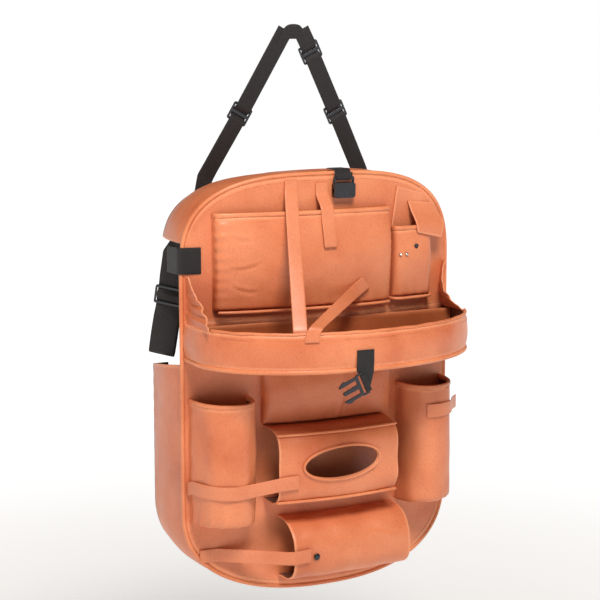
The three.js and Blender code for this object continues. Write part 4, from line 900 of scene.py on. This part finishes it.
def pockets():
    """The five pockets, their bindings and the pipings under the two upper ones."""
    for name, pocket, count_u, count_v, folds in (
            ("tablet_pocket", TABLET, 161, 66, tablet_folds), ("phone_pocket", PHONE, 71, 52, phone_folds),
            ("flat_pocket", FLAT, 121, 50, flat_folds), ("left_bottle_pocket", LEFT_BOTTLE, 91, 80, bottle_folds(1)),
            ("right_bottle_pocket", RIGHT_BOTTLE, 91, 80, bottle_folds(3))):
        add_shell(name, pocket_surface(pocket, count_u, count_v, folds), pocket["wall"], lined_with_painted_shade=True)
    for name, pocket in (("tablet_pocket", TABLET), ("phone_pocket", PHONE), ("left_bottle_pocket", LEFT_BOTTLE),
                         ("right_bottle_pocket", RIGHT_BOTTLE)):
        add_binding(name + "_binding", pocket)
    for name, pocket in (("tablet_pocket", TABLET), ("phone_pocket", PHONE)):
        radius = 2.4
        foot = pocket["bottom"]
        path = pocket_line(pocket, 150, foot, foot - radius - CLEARANCE, radius * 0.4)[8:-8]
        add_tube(name + "_foot_piping", path, radius, (0, 0, 1))


# Sleeves


def flatter_bow(x):
    """The depth that a sleeve's front counts from: the panel's, less bowed because the leather is stiff."""
    return bow_y(0, CLEARANCE) * 0.6 + bow_y(x, CLEARANCE) * 0.4


def sleeve_depth(sleeve, x):
    """How far a sleeve's front stands out at x, bellied by a sine."""
    u = (x - sleeve["left"]) / (sleeve["right"] - sleeve["left"])
    return sleeve["depth"] + sleeve["belly"] * np.sin(math.pi * u)


def sleeve_point(sleeve, x, v):
    """A sheet folded forwards off the panel and back: over v from 0 to 1 it is a superellipse in height and depth."""
    t = math.pi * v
    depth = sleeve_depth(sleeve, x) * np.sin(t) ** (2 / sleeve["power"])
    share = np.minimum(1, depth / sleeve["depth"])
    middle = (sleeve["bottom"] + sleeve["top"]) / 2
    reach = (sleeve["top"] - sleeve["bottom"]) / 2
    z = middle + reach * signed_power(np.cos(t), 2 / sleeve["power"])
    return np.stack([x, bow_y(x, CLEARANCE) * (1 - share) + flatter_bow(x) * share - depth, z], -1)


def even_fold(sleeve, count=1200):
    """The length round a sleeve's section, and the v that a share of that length stands for."""
    v = np.linspace(0, 1, count)
    line = sleeve_point(sleeve, np.full(count, span(sleeve)[0]), v)
    return running_length(line), v


def tissue_sleeve():
    """The sleeve with its oval opening. In the flat, each ray from the oval to the sheet's border is cut evenly, so
    that the oval and the border are both exact; the flat sheet is then folded into the sleeve."""
    run, v_of = even_fold(TISSUE)
    length = run[-1]
    around, rays = 320, 44
    left, right = TISSUE["left"], TISSUE["right"]
    corners = np.array([[right, 0.5 * length], [right, length], [left, length], [left, 0], [right, 0]])
    border = resample(corners, around, closed=True)
    front = sleeve_point(TISSUE, np.full(len(v_of), OVAL["x"]), v_of)
    centre_run = np.interp(-OVAL["height"], -front[:, 2], run)
    direction = np.arctan2((centre_run - border[:, 1]) / OVAL["up"], (border[:, 0] - OVAL["x"]) / OVAL["across"])
    grow = 0.8
    across = (OVAL["across"] + grow) * np.cos(direction)
    up = (OVAL["up"] + grow) * np.sin(direction)
    oval = np.stack([OVAL["x"] + across - up * OVAL["tilt"], centre_run - (up + across * OVAL["tilt"])], 1)
    share = (np.linspace(0, 1, rays) ** 1.15)[None, :, None]
    flat = oval[:, None] * (1 - share) + border[:, None] * share
    x, w = flat[..., 0], flat[..., 1]
    surface = sleeve_point(TISSUE, x, np.interp(w, run, v_of))
    loose = np.clip(np.minimum(w, length - w) / 14, 0, 1) * np.clip(np.minimum(share[..., 0] * 8, 1), 0.1, 1)
    end = np.exp(-np.minimum(x - left, right - x) / 22)
    folds = 0.9 * waves(x, w, 75, 2) + 1.7 * end * waves(x * 0.3, w, 42, 5) + 0.8 * np.sin(w / 9.0) * end ** 2
    folds = folds + 0.8 * crease(x, w, (60, centre_run + 22), 25, 24, 3)
    add_shell("tissue_sleeve", fold_leather(surface, folds * loose, loops=True), TISSUE["wall"], loops=True, lined_with_painted_shade=True)
    angle = np.linspace(0, 2 * math.pi, 160, endpoint=False)
    lift = OVAL["piping"]
    a, b = OVAL["across"] + lift, OVAL["up"] + lift
    ring_x = OVAL["x"] + a * np.cos(angle) - b * np.sin(angle) * OVAL["tilt"]
    ring_z = OVAL["height"] + b * np.sin(angle) + a * np.cos(angle) * OVAL["tilt"]
    w_ring = np.interp(-ring_z, -front[:, 2], run)
    ring = sleeve_point(TISSUE, ring_x, np.interp(w_ring, run, v_of))
    ring[:, 1] -= lift * 0.75
    ring[:, 2] = ring_z
    add_tube("tissue_opening_piping", ring, lift, (0, 1, 0), closed=True)
    for name, share_v in (("tissue_sleeve_top_piping", 0.25), ("tissue_sleeve_foot_piping", 0.75)):
        x = np.linspace(left, right, 90)
        path = sleeve_point(TISSUE, x, np.full(90, share_v))
        out = 2.6 / math.sqrt(2)
        path = path + [0, -out, out if share_v < 0.5 else -out]
        add_tube(name, path, 2.2, (0, 0, 1))


def umbrella_sleeve():
    """A round sleeve at the foot, open at both ends, which stand off a little and wave."""
    run, v_of = even_fold(UMBRELLA)
    length = run[-1]
    u, w = grid(101, 81)
    x = UMBRELLA["left"] + (UMBRELLA["right"] - UMBRELLA["left"]) * u
    w = w * length
    surface = sleeve_point(UMBRELLA, x, np.interp(w, run, v_of))
    end = np.exp(-np.minimum(x - UMBRELLA["left"], UMBRELLA["right"] - x) / 25)
    folds = 1.2 * waves(x, w, 80, 4) + 1.5 * end * np.sin(w / 17.0 + 1) + 0.5 * waves(x, w, 33, 2)
    folds = folds + 1.2 * crease(x, w, (60, length * 0.36), 12, 34, 3)
    loose = np.clip(np.minimum(w, length - w) / 14, 0, 1)
    add_shell("umbrella_sleeve", fold_leather(surface, folds * loose), UMBRELLA["wall"], lined_with_painted_shade=True)


# Tray


def tray_outline(count, inset=0.0):
    """The tray in plan as evenly spaced (x, y): a short straight side, a superelliptic front, a straight side."""
    reach = TRAY_HALF - inset
    start = TRAY_BACK_Y - TRAY_PLANE
    rear = EDGE_Y - PIPING + 0.6
    t = np.linspace(0, math.pi, 400)
    x = -reach * signed_power(np.cos(t), 2 / TRAY_POWER)
    y = start - (TRAY_DEPTH - TRAY_PLANE - inset) * np.sin(t) ** (2 / TRAY_POWER)
    points = np.stack([np.concatenate([[-reach], x, [reach]]), np.concatenate([[rear], y, [rear]])], 1)
    return resample(points, count)


def tray_rim():
    """The rim: the outline carried up, bellied by a sine of the height, with a softly scalloped upper edge."""
    low = TRAY_BOTTOM + 2 * TRAY_PIPING + CLEARANCE
    outline = tray_outline(281, -RIM_WALL / 2)
    run = running_length(outline)[:, None]
    v = np.linspace(0, 1, 25)[None]
    outward = square_to(outline)
    held = np.clip(np.minimum(run, run[-1] - run) / 60, 0, 1)
    swell = 3 * np.sin(math.pi * v) + held * (1.3 * waves(run, v * 46, 110, 3) * np.sin(math.pi * v)
                                              + 1.4 * v ** 3 * waves(run, 0 * v, 46, 7))
    swell = swell + held * 0.5 * puckers(run, v * 46, 19, 10, 2)
    x = outline[:, 0][:, None] + outward[:, 0][:, None] * swell
    y = np.where(outline[:, 1][:, None] < TRAY_BACK_Y, outline[:, 1][:, None] + outward[:, 1][:, None] * swell,
                 outline[:, 1][:, None] + 0 * swell)
    z = low + RIM_HEIGHT * v + 0 * x
    facing = np.stack([outward[:, 0][:, None] + 0 * v, outward[:, 1][:, None] + 0 * v, 0 * x], -1)
    # The rim's inner face shows the dark backing: painted shade inside the tray.
    add_shell("tray_rim", np.stack([x, y, z], -1), RIM_WALL - 0.4, facing=facing, lined_with_painted_shade=True)
    piping = tray_outline(320)
    add_tube("tray_piping", np.stack([piping[:, 0], piping[:, 1], np.full(320, TRAY_BOTTOM + TRAY_PIPING)], 1),
             TRAY_PIPING, (0, 0, 1), sides=14)
    front = tray_outline(500)
    front = resample(front[front[:, 1] < EDGE_Y - 78], 240)
    arc = np.linspace(0, 1, 240)
    rise = 0.5 * np.sin(arc * 61) * np.sin(arc * 17)
    path = np.stack([front[:, 0], front[:, 1], TRAY_TOP + CLEARANCE + 2.4 + rise], 1)
    add_tube("tray_rim_binding", path, 2.4, (0, 0, 1))
    row = tray_outline(420, -RIM_WALL / 2)[30:-30]
    out = square_in_plan(row)
    line = np.stack([row[:, 0], row[:, 1], np.full(len(row), TRAY_TOP - 6)], 1) + out * 1.3
    stitch_row("tray_rim_stitches", line, out)


def tray_inside():
    """The tray's floor and its back wall, in a darker copy of the leather that paints the shade inside the tray."""
    inset = TRAY_PIPING + CLEARANCE + 0.6
    dense = tray_outline(1200, inset)
    front = dense[1:-1]
    order = np.argsort(front[:, 0])
    u, v = grid(121, 41)
    reach = TRAY_HALF - inset - 0.4
    x = reach * np.sin((u - 0.5) * math.pi)
    y_front = np.interp(x, front[order, 0], front[order, 1])
    y_back = bow_y(x, 2 * CLEARANCE)
    y = y_back + (y_front - y_back) * v
    top = TRAY_BOTTOM + TRAY_PIPING + 2.5
    surface = np.stack([x, y, top - 0.3 - 0.3 * waves(x, y, 120, 2)], -1)
    add_shell("tray_floor", surface, 4.4, SHADED_TRAY_LEATHER, facing=(0, 0, 1))
    low = top + CLEARANCE
    wall_reach = TRAY_HALF - RIM_WALL / 2 - CLEARANCE - 1
    u, v = grid(81, 17)
    x = wall_reach * (2 * u - 1)
    z = low + (TRAY_TOP - 2 - low) * v
    wall = np.stack([x, TRAY_BACK_Y - 0.2 - 0.3 * waves(x, z, 60, 4), z], -1)
    add_shell("tray_back_wall", wall, BACK_WALL - 0.3, SHADED_TRAY_LEATHER)


def tray_gusset(name, side, fold_in, spread, seed):
    """A web between the body's side and the rim, narrowing upwards, gathered into folds that fan from the body."""
    u, v = grid(61, 33)
    low = TRAY_TOP + CLEARANCE
    rise, reach_full = 68.0, 74.0
    z = low + rise * u
    reach = spread * reach_full * (1 - u) ** 1.3 + 9
    envelope = np.sin(math.pi * np.minimum(1, u * 1.4)) * (0.35 + 0.65 * v)
    turn = 2 * math.pi * (4.5 * u + 0.55 * v + 0.12 * np.sin(5 * v + seed))
    fold = 4.4 * np.abs(np.sin(turn / 2)) ** 1.1 * envelope + 1.1 * np.abs(np.sin(turn * 1.3 + 1)) * envelope
    x = TRAY_HALF - fold - fold_in * 4 * u * (1 - u) * (0.3 + 0.7 * v)
    y = np.minimum(EDGE_Y - 3, bow_y(x, 1)) - reach * v
    surface = np.stack([side * x, y, z + 0 * x], -1)
    add_shell(name, surface, 1.8, facing=(side, 0, 0))


# Webbing


def belt_frame(origin, along, across):
    """Three unit directions for a belt: along it, across it and out of its face."""
    origin, along, across = (np.asarray(a, float) for a in (origin, along, across))
    along = along / np.linalg.norm(along)
    across = across - across @ along * along
    across = across / np.linalg.norm(across)
    return origin, along, across, np.cross(along, across)


def on_belt(belt, places, width=WEBBING):
    """Rows of (point, half width) at (distance, out) places of a belt's frame."""
    origin, along, across, out = belt
    return [np.concatenate([origin + along * d + out * o, across * width / 2]) for d, o in places]


def through_slider(centre):
    """Places where a belt goes behind a slider's end bars and in front of its middle bar."""
    bar, middle, clear = SLIDER_HALF - END_BAR - 0.8, HALF_MIDDLE_BAR + 0.8, SLIDER_HALF + 1.5
    return [(centre - clear, -PASS), (centre - bar, -PASS), (centre - middle, PASS),
            (centre + middle, PASS), (centre + bar, -PASS), (centre + clear, -PASS)]


def round_bar(bar_end, reach_back, reach_front):
    """Places where a belt goes behind a bar, turns beyond it and comes back in front."""
    return [(bar_end - reach_back, -PASS), (bar_end + 0.45, -PASS), (bar_end + 2.7, 0),
            (bar_end + 0.45, PASS), (bar_end - reach_front, PASS)]


def add_belt(name, steps):
    """A webbing belt along steps, as a piece that stands for the node."""
    add_ribbon(name, np.array(steps), WEBBING_WALL, WEBBING_CLOTH, "_belt", 7.0, 3)


def hanging_strap():
    """Two legs and the folded crown between them, joined into one piece."""
    rear = GUSSET_REAR + CLEARANCE + 2 - WEBBING_WALL / 2
    base = float(outline_top(np.array(HANG_SPREAD))) - 14 + 12
    upwards = np.array([HANG_SPREAD - CROWN / 2, -HANG_LEAN, HANG_HEIGHT - base])
    leg = float(np.linalg.norm(upwards))
    parts = []
    for side in (-1, 1):
        along = upwards * [-side, 1, 1]
        across = np.cross([0, HANG_HEIGHT - base, HANG_LEAN], along)
        belt = belt_frame((side * HANG_SPREAD, rear, base), along, across)
        flat = unit(belt[2] * [1, 0, 1])
        foot = belt[0] + [side * 6, 0, -30]
        stops = through_slider(HANG_SLIDER) + (through_slider(leg - TOP_SLIDER_DROP) if side > 0 else [])
        steps = [np.concatenate([foot, flat * WEBBING / 2]), np.concatenate([belt[0], flat * WEBBING / 2])]
        steps += on_belt(belt, [(14, 0), *stops, (leg + 1, 0)])
        line = eased(np.array(steps), window=3)
        parts.append(ribbon(line[:, :3], line[:, 3:], WEBBING_WALL, squareness=7))
    up = np.array([0, -HANG_LEAN, HANG_HEIGHT - base])
    crown = belt_frame((0, rear, base), up, (1, 0, 0))
    height = float(np.linalg.norm(up))
    u = np.linspace(-1, 1, 41)
    drop = 11 * np.abs(u) ** 2.6
    middle = crown[0] + crown[1] * (height - 2 - drop)[:, None] + crown[2] * (u * 23)[:, None]
    half = unit(crown[1] - crown[2] * (0.55 * u ** 3)[:, None]) * (11 - 2 * u ** 2)[:, None]
    parts.append(ribbon(middle, half, 3.4, squareness=5))
    shift, points, faces, belts = 0, [], [], []
    for part_points, part_faces, part_belt in parts:
        if signed_volume(part_points, part_faces) < 0:
            part_faces = part_faces[:, ::-1]
        points.append(part_points)
        faces.append(part_faces + shift)
        belts.append(part_belt)
        shift += len(part_points)
    add_piece("hanging_strap_belt", np.concatenate(points), np.concatenate(faces), WEBBING_CLOTH,
              "hanging_strap", belt=np.concatenate(belts))


def side_strap(name, side, sway):
    """A wide belt sewn inside the hood, through a slider, round a fold at its lowest point and back up."""
    x, y = side * (HALF_WIDTH - 9), GUSSET_REAR - 72
    origin = np.array([x, y, 498.0])
    along = np.array([side * 10, 72 - 36, 345.0 - 498])
    width = 38.0
    belt = belt_frame(origin, along, (0.8, side * 0.6, 0))
    length = float(np.linalg.norm(along))
    middle, turn = 0.42 * length, 5
    bent = lambda share: sway * math.sin(math.pi * share)
    down = [(0, 0), (middle - 30, 0), *through_slider(middle), (middle + 32, bent(0.6) * 0.6),
            (0.78 * length, bent(0.6)), (length - turn, turn), (length, 0), (length - turn, -turn),
            (0.8 * length, -6), (middle + 26, -6)]
    flat = unit(np.array([-side * 0.13, 1, 0])) * side * width / 2
    sewn = [np.array([side * (HALF_WIDTH - inset - CLEARANCE - WEBBING_WALL), y, z, *flat])
            for inset, z in ((11.3, 533), (7.1, 519))]
    add_belt(name, [*sewn, *on_belt(belt, down, width)])


def side_tab():
    """A belt end over the left edge of the body, above the strap."""
    over = PIPING + CLEARANCE + WEBBING_WALL + 0.3
    slope = over * math.sqrt(0.5)
    off = CLEARANCE + WEBBING_WALL / 2 + 0.1
    w = HALF_WIDTH
    places = [(-w + 27, bow_y(w - 27, off)), (-w + 9, bow_y(w - 9, off + 0.8)), (-w, piping_y(w) - over),
              (-w - slope, piping_y(w) - slope), (-w - over, piping_y(w)), (-w - over - 3, piping_y(w) + 30)]
    add_belt("left_side_tab", [[x, y, 492, 0, 0, 19] for x, y in places])


def rim_face(x):
    """The rim's outer face above x: its depth, the direction across it and the one out of it."""
    outline = tray_outline(400, -RIM_WALL / 2)
    front = np.where(outline[:, 1] < TRAY_BACK_Y - TRAY_PLANE)[0]
    i = front[np.argmin(np.abs(outline[front, 0] - x))]
    along = unit(outline[i + 2] - outline[i - 2])
    return outline[i, 1], np.array([along[0], along[1], 0]), np.array([along[1], -along[0], 0])


def buckle_webbing():
    """The tab over the top edge that holds the socket, and the one on the tray that holds the plug."""
    x, top = 25.0, 605.0
    face_y = piping_y(x) - PIPING - CLEARANCE - WEBBING_WALL
    belt = belt_frame((x, face_y - PASS, top), (0, 0, -1), (-1, 0, 0))
    crest = BODY_HEIGHT + PIPING + CLEARANCE + WEBBING_WALL
    half = np.array([WEBBING / 2, 0, 0])
    over = [(17, crest), (6, crest), (piping_y(x), crest), (piping_y(x) - 4, BODY_HEIGHT + 2),
            (face_y, BODY_HEIGHT - 5)]
    steps = [np.array([x, y, z, *half]) for y, z in over]
    steps += [np.array([*(belt[0] + belt[1] * d - belt[3] * o), *half]) for d, o in round_bar(3, 3.6, 9)]
    add_belt("top_buckle_webbing", steps)
    tab_x = -17.0
    y, across, out = rim_face(tab_x)
    hang_out = TRAY_PIPING - RIM_WALL / 2 + CLEARANCE + WEBBING_WALL / 2 + 0.4
    swell = 3 + CLEARANCE + WEBBING_WALL / 2 + 0.4
    at = lambda d, z: np.array([tab_x, y, 0]) + out * d + [0, 0, z]
    tilt = 1.15
    down = np.array([0, 0, -1.0])
    down = down * math.cos(tilt) + np.cross(out, down) * math.sin(-tilt) + out * (out @ down) * (1 - math.cos(tilt))
    sideways = -np.cross(out, down)
    belt = belt_frame(at(hang_out, TRAY_BOTTOM - 13) + out * PASS, down, sideways)
    half = across * WEBBING / 2
    steps = [np.array([*at(d, z), *half]) for d, z in
             ((swell, TRAY_BOTTOM + 32), (swell, TRAY_BOTTOM + 14), (hang_out, TRAY_BOTTOM + TRAY_PIPING + 3),
              (hang_out, TRAY_BOTTOM + TRAY_PIPING - 3))]
    sign = 1 if belt[3] @ out > 0 else -1
    turned = belt[2] * (np.sign(belt[2] @ half) * WEBBING / 2)
    steps += [np.array([*(belt[0] + belt[1] * d + belt[3] * sign * o), *turned]) for d, o in round_bar(3, 4, 6)]
    add_belt("tray_buckle_webbing", steps)


# Leather bands


def pocket_front(pocket, x, z):
    """Depth of a pocket's outer face at x and z."""
    share = min(1.0, max(0.0, (z - pocket["bottom"]) / (pocket["top"] - pocket["bottom"])))
    depth = pocket["depth"] + pocket["belly"] * math.sin(math.pi * share)
    middle, reach = span(pocket)
    across = min(1.0, abs(x - middle) / reach)
    cosine = across ** (pocket["power"] / 2)
    return float(bow_y(x, CLEARANCE + depth * math.sqrt(max(0, 1 - cosine * cosine)) ** (2 / pocket["power"])))


def sleeve_front(sleeve, x):
    """Depth of a sleeve's front at x."""
    return float(flatter_bow(x) - sleeve_depth(sleeve, x))


def round_pocket(pocket, turns, z):
    """Places along a band that lies round a pocket, at turns from 0 at its right side to 1 at its left."""
    x, y = pocket_section(pocket, math.pi * turns, z, out=BAND_OFF + 1.4)
    return [(a, b, z) for a, b in zip(x, y)]


def add_band(name, places, half):
    """A cut leather band along places, with one half width vector or one for each place."""
    halves = [half] * len(places) if np.ndim(half) == 1 else half
    steps = np.array([[*p, *h] for p, h in zip(places, halves)])
    add_ribbon(name, steps, BAND_WALL, BAND_LEATHER, "_strip", 12.0, 7)


def leather_bands():
    """The two stays of the tray, the tablet pocket's tab and the bands of the lower pockets."""
    level, upright = (0, 0, BAND / 2), (BAND / 2, 0, 0)
    x = -104.0
    inner = tray_outline(400, RIM_WALL / 2)
    inner = inner[inner[:, 1] < TRAY_BACK_Y - TRAY_PLANE]
    inside_y = inner[np.argmin(np.abs(inner[:, 0] - x)), 1] + BAND_OFF + 1.5
    _, across, _ = rim_face(x)
    rim_half = across * BAND / 2
    add_band("left_tray_stay", [(-56, bow_y(46, BAND_OFF), 602), (-57, bow_y(47, BAND_OFF), 588),
                                (x, inside_y, TRAY_TOP + 6), (x, inside_y, TRAY_TOP - 14)],
             [upright, upright, rim_half, rim_half])
    y, across, _ = rim_face(-92)
    outside = y - BAND_OFF - 1.1
    slant = np.array([0.62, 0, -0.78]) * BAND / 2
    rim_half = across * BAND / 2
    front_y = pocket_front(TABLET, 41, 452)
    add_band("right_tray_stay", [(53, front_y - BAND_OFF - 1, 452), (39, front_y - BAND_OFF - 2, 443),
                                 (-86, outside, TRAY_TOP + 12), (-92, outside, TRAY_TOP + 2),
                                 (-92, outside - 0.8, TRAY_TOP - 8)],
             [slant, slant, slant * 0.2 + rim_half * 0.8, rim_half, rim_half])
    tablet = lambda z: pocket_front(TABLET, -2, z) - BAND_OFF
    mouth = tablet(TABLET["top"]) - BINDING_EXTRA
    add_band("tablet_pocket_tab", [(-8, bow_y(8, BAND_OFF), 597), (-8, bow_y(8, BAND_OFF), 580),
                                   (-8, mouth, TABLET["top"] + BINDING_HEIGHT + 2), (-8, mouth, TABLET["top"] - 4),
                                   (-7, tablet(528) - 1.6, 528), (-6, tablet(506) - 1.6, 506)], upright)
    tissue = lambda at: sleeve_front(TISSUE, at) - BAND_OFF
    add_band("left_bottle_band", [(-211, bow_y(211, BAND_OFF + 2.6), 163),
                                  *round_pocket(LEFT_BOTTLE, np.linspace(0.93, 0.5, 14), 168),
                                  (-94, tissue(-94) - 1.6, 175), (-72, tissue(-72) - 1.2, 176)], level)
    right = round_pocket(RIGHT_BOTTLE, np.linspace(0.64, 0.21, 14), 257)
    add_band("right_bottle_band", [*right, (right[-1][0] + 16, right[-1][1] + 15, 257)], level)
    front = sleeve_front(UMBRELLA, UMBRELLA["left"]) - BAND_OFF
    add_band("umbrella_band", [(-194, bow_y(194, BAND_OFF + 2), 60), (-170, bow_y(170, BAND_OFF), 61),
                               (UMBRELLA["left"] - 6, front - 1.5, 64),
                               (UMBRELLA["left"] + 22, front - 3.4, 66)], level)


def draped_sheet(name, rows, wave):
    """A sheet through rows of (left x, left z, right x, right z, proud of the panel), its corners eased, that
    ripples more towards its lower edge."""
    rows = np.array(rows, float)
    left = np.stack([rows[:, 0], bow_y(rows[:, 0], rows[:, 4]), rows[:, 1]], 1)
    right = np.stack([rows[:, 2], bow_y(rows[:, 2], rows[:, 4]), rows[:, 3]], 1)
    line = eased(np.hstack([left, right]), window=9, passes=3)
    u = np.linspace(0, 1, 31)[:, None, None]
    surface = line[None, :, :3] * (1 - u) + line[None, :, 3:] * u
    down = np.linspace(0, 1, len(line))[None]
    ripple = wave * np.sin(math.pi * u[..., 0]) * waves(surface[..., 0], surface[..., 2], 52, 3) * down
    surface[..., 1] -= np.maximum(ripple, -0.3) + BAND_WALL / 2
    points, faces, rub_and_highlight = shell(surface, BAND_WALL)
    add_piece(name, points, faces, BAND_LEATHER, "phone_pocket_flap", rub_and_highlight)


def phone_flap():
    """A tab that goes down the panel into the phone pocket, and the flap over it; one solid stands for both."""
    tab = [(120, 586, 166, 574, 1.5), (111, 532, 157, 532, 1.5), (111, 508, 157, 508, 1.5)]
    flap = [(139, 564, 181, 559, 3.8), (140, 549.5, 188.5, 545.5, 11.3), (142, 535, 196, 530, 25.1),
            (144, 519, 188, 509, 25.6)]
    draped_sheet("phone_pocket_tab_strip", tab, 0.0)
    draped_sheet("phone_pocket_flap_hide", flap, 1.6)


# Plastic and metal


def eased_copy(name, radius=0.0005):
    """A CAD fitting with its flat faces made whole and its edges rounded, as the mould leaves them."""
    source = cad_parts[name]
    mesh = bpy.data.meshes.new(name + "_moulding")
    work = bmesh.new()
    work.from_mesh(source.data)
    bmesh.ops.remove_doubles(work, verts=work.verts, dist=1e-6)
    bmesh.ops.dissolve_limit(work, angle_limit=math.radians(1), verts=work.verts, edges=work.edges)
    work.to_mesh(mesh)
    work.free()
    mesh.materials.clear()
    mesh.materials.append(NYLON)
    mesh.polygons.foreach_set("use_smooth", np.ones(len(mesh.polygons), bool))
    mesh.set_sharp_from_angle(angle=math.radians(40))
    piece = add_object(name + "_moulding", mesh)
    bevel = piece.modifiers.new("rounded_edges", "BEVEL")
    bevel.width = radius
    bevel.segments = 2
    bevel.limit_method = "ANGLE"
    bevel.angle_limit = math.radians(40)
    bevel.harden_normals = True
    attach(piece, "root")
    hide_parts(name)


def stud(name, radius, height, centre, material):
    """A domed head: circles whose radius is a root of one minus the square of the height."""
    profile = np.array([[1, 0], [1.0, 0.25], [0.94, 0.5], [0.8, 0.74], [0.55, 0.92], [0.22, 1.0]])
    angle = np.arange(28) / 28 * 2 * math.pi
    rings = np.stack(np.broadcast_arrays(
        centre[0] + radius * profile[:, :1] * np.cos(angle), centre[1] - height * profile[:, 1:],
        centre[2] + radius * profile[:, :1] * np.sin(angle)), -1)
    points, faces = loft(rings)
    add_piece(name + "_head", points, faces, material, name)


def fittings():
    """Sliders, buckle halves, snaps and rivets."""
    for name in ("left_strap_slider", "right_strap_slider", "top_strap_slider", "left_side_strap_slider",
                 "right_side_strap_slider", "top_buckle_socket", "tray_buckle_plug"):
        eased_copy(name)
    snap_y = sleeve_front(UMBRELLA, -44) - CLEARANCE
    stud("umbrella_sleeve_snap", 5.0, 2.6, (-44, snap_y, 62), NYLON)
    stud("phone_pocket_snap", 3.4, 2.4, (141, pocket_front(PHONE, 141, 499) - 0.9, 499), NYLON)
    for side, x in (("left", 113), ("right", 123)):
        stud(f"phone_pocket_rivet_{side}", 2.6, 2.4, (x, pocket_front(PHONE, x, 488) - 0.9, 488), STEEL)


look_from(-25.8, 9.0, 2.5, (-0.002, -0.060, 0.402), 100.2)
studio()
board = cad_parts["stiffener_board"]
board.data.materials.clear()
board.data.materials.append(BOARD)
front_panels()
edge_piping()
gussets()
pockets()
tissue_sleeve()
umbrella_sleeve()
tray_rim()
tray_inside()
tray_gusset("left_tray_gusset", -1, 2, 1, 0.0)
tray_gusset("right_tray_gusset", 1, 16, 0.7, 2.0)
hanging_strap()
side_strap("left_side_strap", -1, 6)
side_strap("right_side_strap", 1, 22)
side_tab()
buckle_webbing()
leather_bands()
phone_flap()
fittings()
